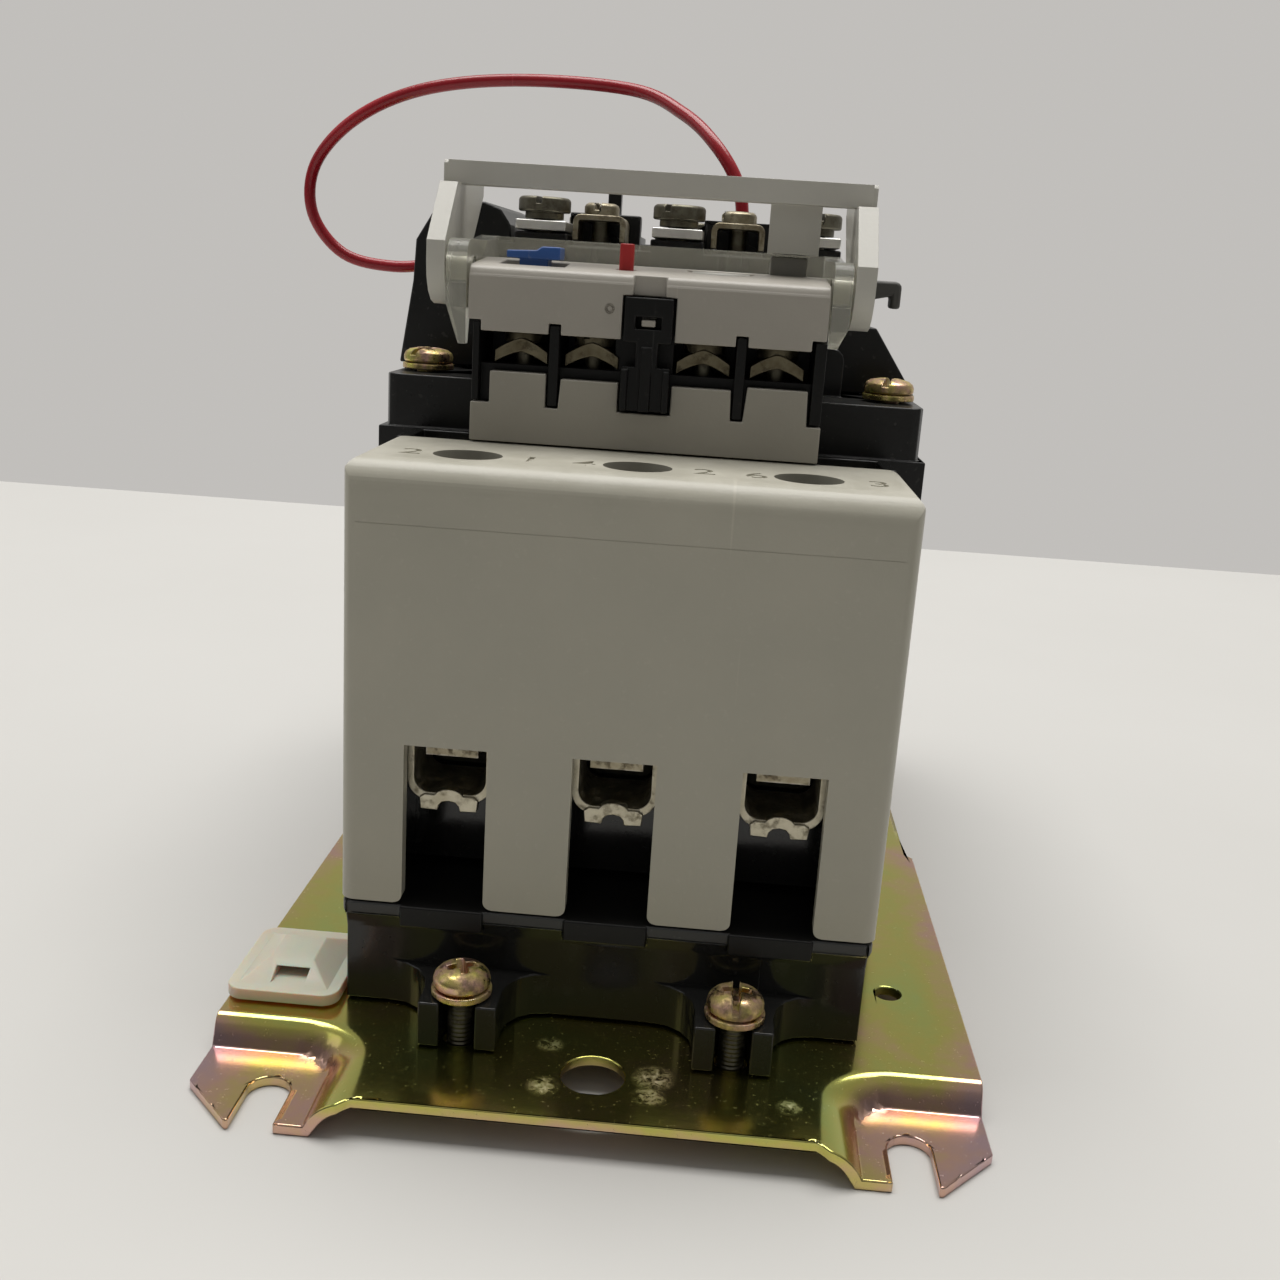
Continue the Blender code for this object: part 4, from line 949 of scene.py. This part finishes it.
# %% Shroud shell
shell = bmesh.new()
extruded(shell, "X", [(27, 23), (0, 23)] + arc((4.5, 84.5), 4.5, 180, 90, 14) + [(27, 89)], -40, 40)
from_front = [(-40, 20), (40, 20)] + arc((37.5, 86.5), 2.5, 0, 90, 10) + arc((-37.5, 86.5), 2.5, 90, 180, 10)
from_above = arc((-37.8, 2.2), 2.2, 180, 270, 10) + arc((37.8, 2.2), 2.2, 270, 360, 10) + [(40, 40), (-40, 40)]
for axis, outline, low, high in (("Y", from_front, -5, 40), ("Z", from_above, 10, 100)):
    tool = bmesh.new()
    extruded(tool, axis, outline, low, high)
    shell = combined(shell, tool, "INTERSECT")
inside = bmesh.new()
block(inside, (-37.8, 37.8), (2.4, 40), (10, 86.6))
shell = combined(shell, inside)
print("shell:", len(shell.faces), "faces")

# %% Mouths and driver holes
mouths = bmesh.new()
for pole in POLES:
    outline = [(pole - 6.1, 48)] + arc((pole - 7.35, 24.3), 1.25, 0, -90, 6) + [(pole - 7.4, 20), (pole + 7.4, 20)]
    outline += arc((pole + 7.35, 24.3), 1.25, 270, 180, 6) + [(pole + 6.1, 48)]
    extruded(mouths, "Y", outline, -3, 5)
    drilled(mouths, "Z", (pole, 10.8), 5.0, 80, 95, 72)
shell = combined(shell, mouths)
print("mouths and holes cut:", len(shell.faces), "faces")

# %% [markdown]
# ## Engraved numerals
# Terminal numbers are sunk into the shroud's top. A text object with a plain font is extruded, made a mesh
# and cut 0.3 mm deep. They are bare numbers, one to the left and one to the right of each hole. A fine
# parting line crosses the front face under the large radius.

# %% Numerals
def figures(marks, size, top, deep, y):
    """Marks are (text, x) pairs, centred on the line y, sunk from top by deep, all in millimetres."""
    bm = bmesh.new()
    for text, x in marks:
        curve = bpy.data.curves.new("figure", "FONT")
        curve.body, curve.size = text, size * MM
        curve.align_x, curve.align_y = "CENTER", "CENTER"
        curve.extrude, curve.offset = deep * MM, 0.05 * MM
        held = placed("figure", curve)
        bpy.context.view_layer.update()
        solid = held.evaluated_get(bpy.context.evaluated_depsgraph_get())
        mesh = bpy.data.meshes.new_from_object(solid)
        mesh.transform(Matrix.Translation(at(x, y, top)))
        bm.from_mesh(mesh)
        bpy.data.objects.remove(held)
        bpy.data.meshes.remove(mesh)
    bmesh.ops.remove_doubles(bm, verts=bm.verts, dist=1e-6)
    bmesh.ops.recalc_face_normals(bm, faces=bm.faces)
    return bm


marks = [("2", -32.6), ("1", -15.4), ("4", -7.6), ("2", 9.6), ("6", 17.0), ("3", 34.4)]
shell = combined(shell, figures(marks, 7.0, 89.0, 0.30, 10.4))
seam = bmesh.new()
block(seam, (-41, 41), (-1, 0.06), (80.1, 80.25))
shell = combined(shell, seam)
shroud = as_piece("terminal_cover_moulded", "terminal_shroud", shell, GREY, 0.16, 40.0, clamped=True)
print("shroud:", len(shroud.data.polygons), "faces")

# %% [markdown]
# ## Box clamps
# Each load terminal is a square cage of bent steel. The screw pulls it up, and the wire is held between the
# cage's floor and the tongue above. The cage is an outline with the wire way cut through, and its floor has
# a separate stamped saddle with an arch in the middle.

# %% Cages
STAMPED = [(-4.4, 38.9), (-4.2, 37.1), (-1.7, 37.0), (-1.5, 37.8), (-1.0, 38.35), (0, 38.55), (1.0, 38.35),
           (1.5, 37.8), (1.7, 37.0), (4.2, 37.1), (4.4, 38.9), (3.6, 39.4), (2.2, 39.35), (1.7, 39.9),
           (0.9, 40.25), (0, 40.35), (-0.9, 40.25), (-1.7, 39.9), (-2.2, 39.35), (-3.6, 39.4)]


def cup(pole, half, top, bend, centre_z, radius):
    """A U with two rounded corners, seen from the front."""
    left = arc((pole - bend, centre_z), radius, 180, 262, 10)
    right = arc((pole + bend, centre_z), radius, 278, 360, 10)
    return [(pole - half, top)] + left + right + [(pole + half, top)]


for i, pole in enumerate(POLES, 1):
    cage, way, lip = bmesh.new(), bmesh.new(), bmesh.new()
    extruded(cage, "Y", cup(pole, 6.35, 48.4, 3.1, 41.6, 3.25), 3.6, 15.6)
    extruded(way, "Y", cup(pole, 5.35, 46.6, 2.9, 42.0, 2.45), 2, 17)
    drilled(way, "Z", (pole, 10.8), 2.7, 45, 50, 24)
    cage = combined(cage, way)
    extruded(lip, "Y", [(pole + x, z) for x, z in STAMPED], 3.2, 4.9)
    beside(cage, lip)
    as_piece(f"load_clamp_{i}_bent", f"load_clamp_{i}", cage, CLAMP, 0.12)
print("three cages bent")

# %% [markdown]
# ## Cable tie mount
# A square pad of milky nylon, stuck to the plate, with a low pyramid. A tunnel for the tie passes through the
# pyramid from front to back. The pyramid is a block whose upper face is scaled down, and the pad is an
# outline with four rounded corners.

# %% Tie mount
pad = bmesh.new()
corners = ((-54.3, -0.2), (-42.3, -0.2), (-42.3, 14.5), (-54.3, 14.5))
rounded = [p for k, c in enumerate(corners) for p in arc(c, 2.6, 180 + 90 * k, 270 + 90 * k, 8)]
extruded(pad, "Z", rounded, 6.12, 8.0)
hump = bmesh.new()
block(hump, (-55.7, -40.9), (-1.4, 15.7), (7.5, 10.3))
centre = at(-48.3, 7.15, 0)
for v in hump.verts:
    if v.co.z > 9 * MM:
        v.co.x = centre.x + (v.co.x - centre.x) * 0.46
        v.co.y = centre.y + (v.co.y - centre.y) * 0.42
pad = combined(pad, hump, "UNION")
tunnel = bmesh.new()
block(tunnel, (-50.3, -45.1), (-4, 19), (8.05, 9.5))
pad = combined(pad, tunnel)
tie_base = as_piece("tie_mount_moulded", "tie_mount", pad, NYLON, 0.28, 30.0, 3, clamped=True)
print("tie mount:", len(tie_base.data.polygons), "faces")

# %% [markdown]
# ## Current dial
# A small white knob, turned, with a driver slot and a pointer notch on its crown.

# %% Dial
DIAL_X, DIAL_Y = 9.6, 38.6
knob, slots = bmesh.new(), bmesh.new()
turned(knob, DIAL_X, DIAL_Y, [(0, 109), (5.8, 109), (5.8, 111), (4.9, 111), (4.9, 115.9), (4.75, 116.25),
                              (4.4, 116.48), (3.2, 116.5), (0, 116.5)])
block(slots, (DIAL_X - 3.6, DIAL_X + 3.6), (DIAL_Y - 0.5, DIAL_Y + 0.5), (115.2, 118))
block(slots, (DIAL_X - 0.3, DIAL_X + 0.3), (42.3, 44.0), (115.9, 118))
as_piece("dial_turned", "current_dial", combined(knob, slots), WHITE)
print("dial turned")

# %% [markdown]
# ## Setting cover and the block behind it
# The cover over the setting deck keeps its CAD solid, with the round witness of a moulding pin sunk into its
# front. The black block under it gets a wall behind the latch, with two ribs, so that nothing inside shows
# through the latch's window.

# %% Cover and block
PIN_MARK = (-6.5, 110.3)  # X and Z of the round witness
witness, core, wall = bmesh.new(), bmesh.new(), bmesh.new()
drilled(witness, "Y", PIN_MARK, 0.65, 25.0, 25.8, 28)
drilled(core, "Y", PIN_MARK, 0.48, 24.0, 27.0, 28)
cover = combined(merged_copy("top_cover"), combined(witness, core))
top_cover = as_piece("top_cover_moulded", "top_cover", cover, SHADED_GREY_COVER, 0.18, 30.0)
behind_latch = merged_copy("aux_block")
extruded(wall, "Z", [(-5.6, 29.2), (3.4, 29.2), (3.4, 30.4), (1.9, 30.4), (1.9, 30.9), (1.1, 30.9), (1.1, 30.4),
                     (-2.2, 30.4), (-2.2, 30.9), (-3.0, 30.9), (-3.0, 30.4), (-5.6, 30.4)], 100.8, 112.3)
beside(behind_latch, wall)
as_piece("aux_block_moulded", "aux_block", behind_latch, DEAD_BLACK, 0.12, clamped=True)
print("cover:", len(top_cover.data.polygons), "faces")

# %% [markdown]
# ## Contactor housing
# The lower housing is a deep box. Rows of shallow ventilation slots run down both sides, and three sunk
# panels lighten the rear wall, so the large faces don't show sink marks. They are cut 1.2 mm into the wall.

# %% Slots and panels
hollows = bmesh.new()
for side in (-1, 1):
    for k in range(9):
        block(hollows, sorted((side * 43.8, side * 47)), (63 + 9 * k, 66 + 9 * k), (26, 66))
for pole in (-24.0, 0.0, 24.0):
    block(hollows, (pole - 9.5, pole + 9.5), (150.8, 156), (24, 74))
housing = combined(merged_copy("contactor_base"), hollows)
housing = as_piece("contactor_base_moulded", "contactor_base", housing, BODY_BLACK, 0.4, clamped=True)
print("contactor base:", len(housing.data.polygons), "faces")

# %% [markdown]
# ## White frame
# The frame's bar lies across the ends of its two arms, so the arms stop under it. The CAD arms are trimmed
# there, and a bar of the full width is joined on.

# %% Bar over the arms
trim, bar = bmesh.new(), bmesh.new()
for side in ((-36, -30), (28, 34)):
    block(trim, side, (24, 37.5), (127.5, 134))
block(bar, (-33.8, 32.0), (37.3, 41.6), (127.4, 130.9))
bail = combined(combined(merged_copy("reset_bail"), trim), bar, "UNION")
bail = as_piece("reset_bail_moulded", "reset_bail", bail, WHITE, 0.3, 30.0, clamped=True)
print("bail:", len(bail.data.polygons), "faces")
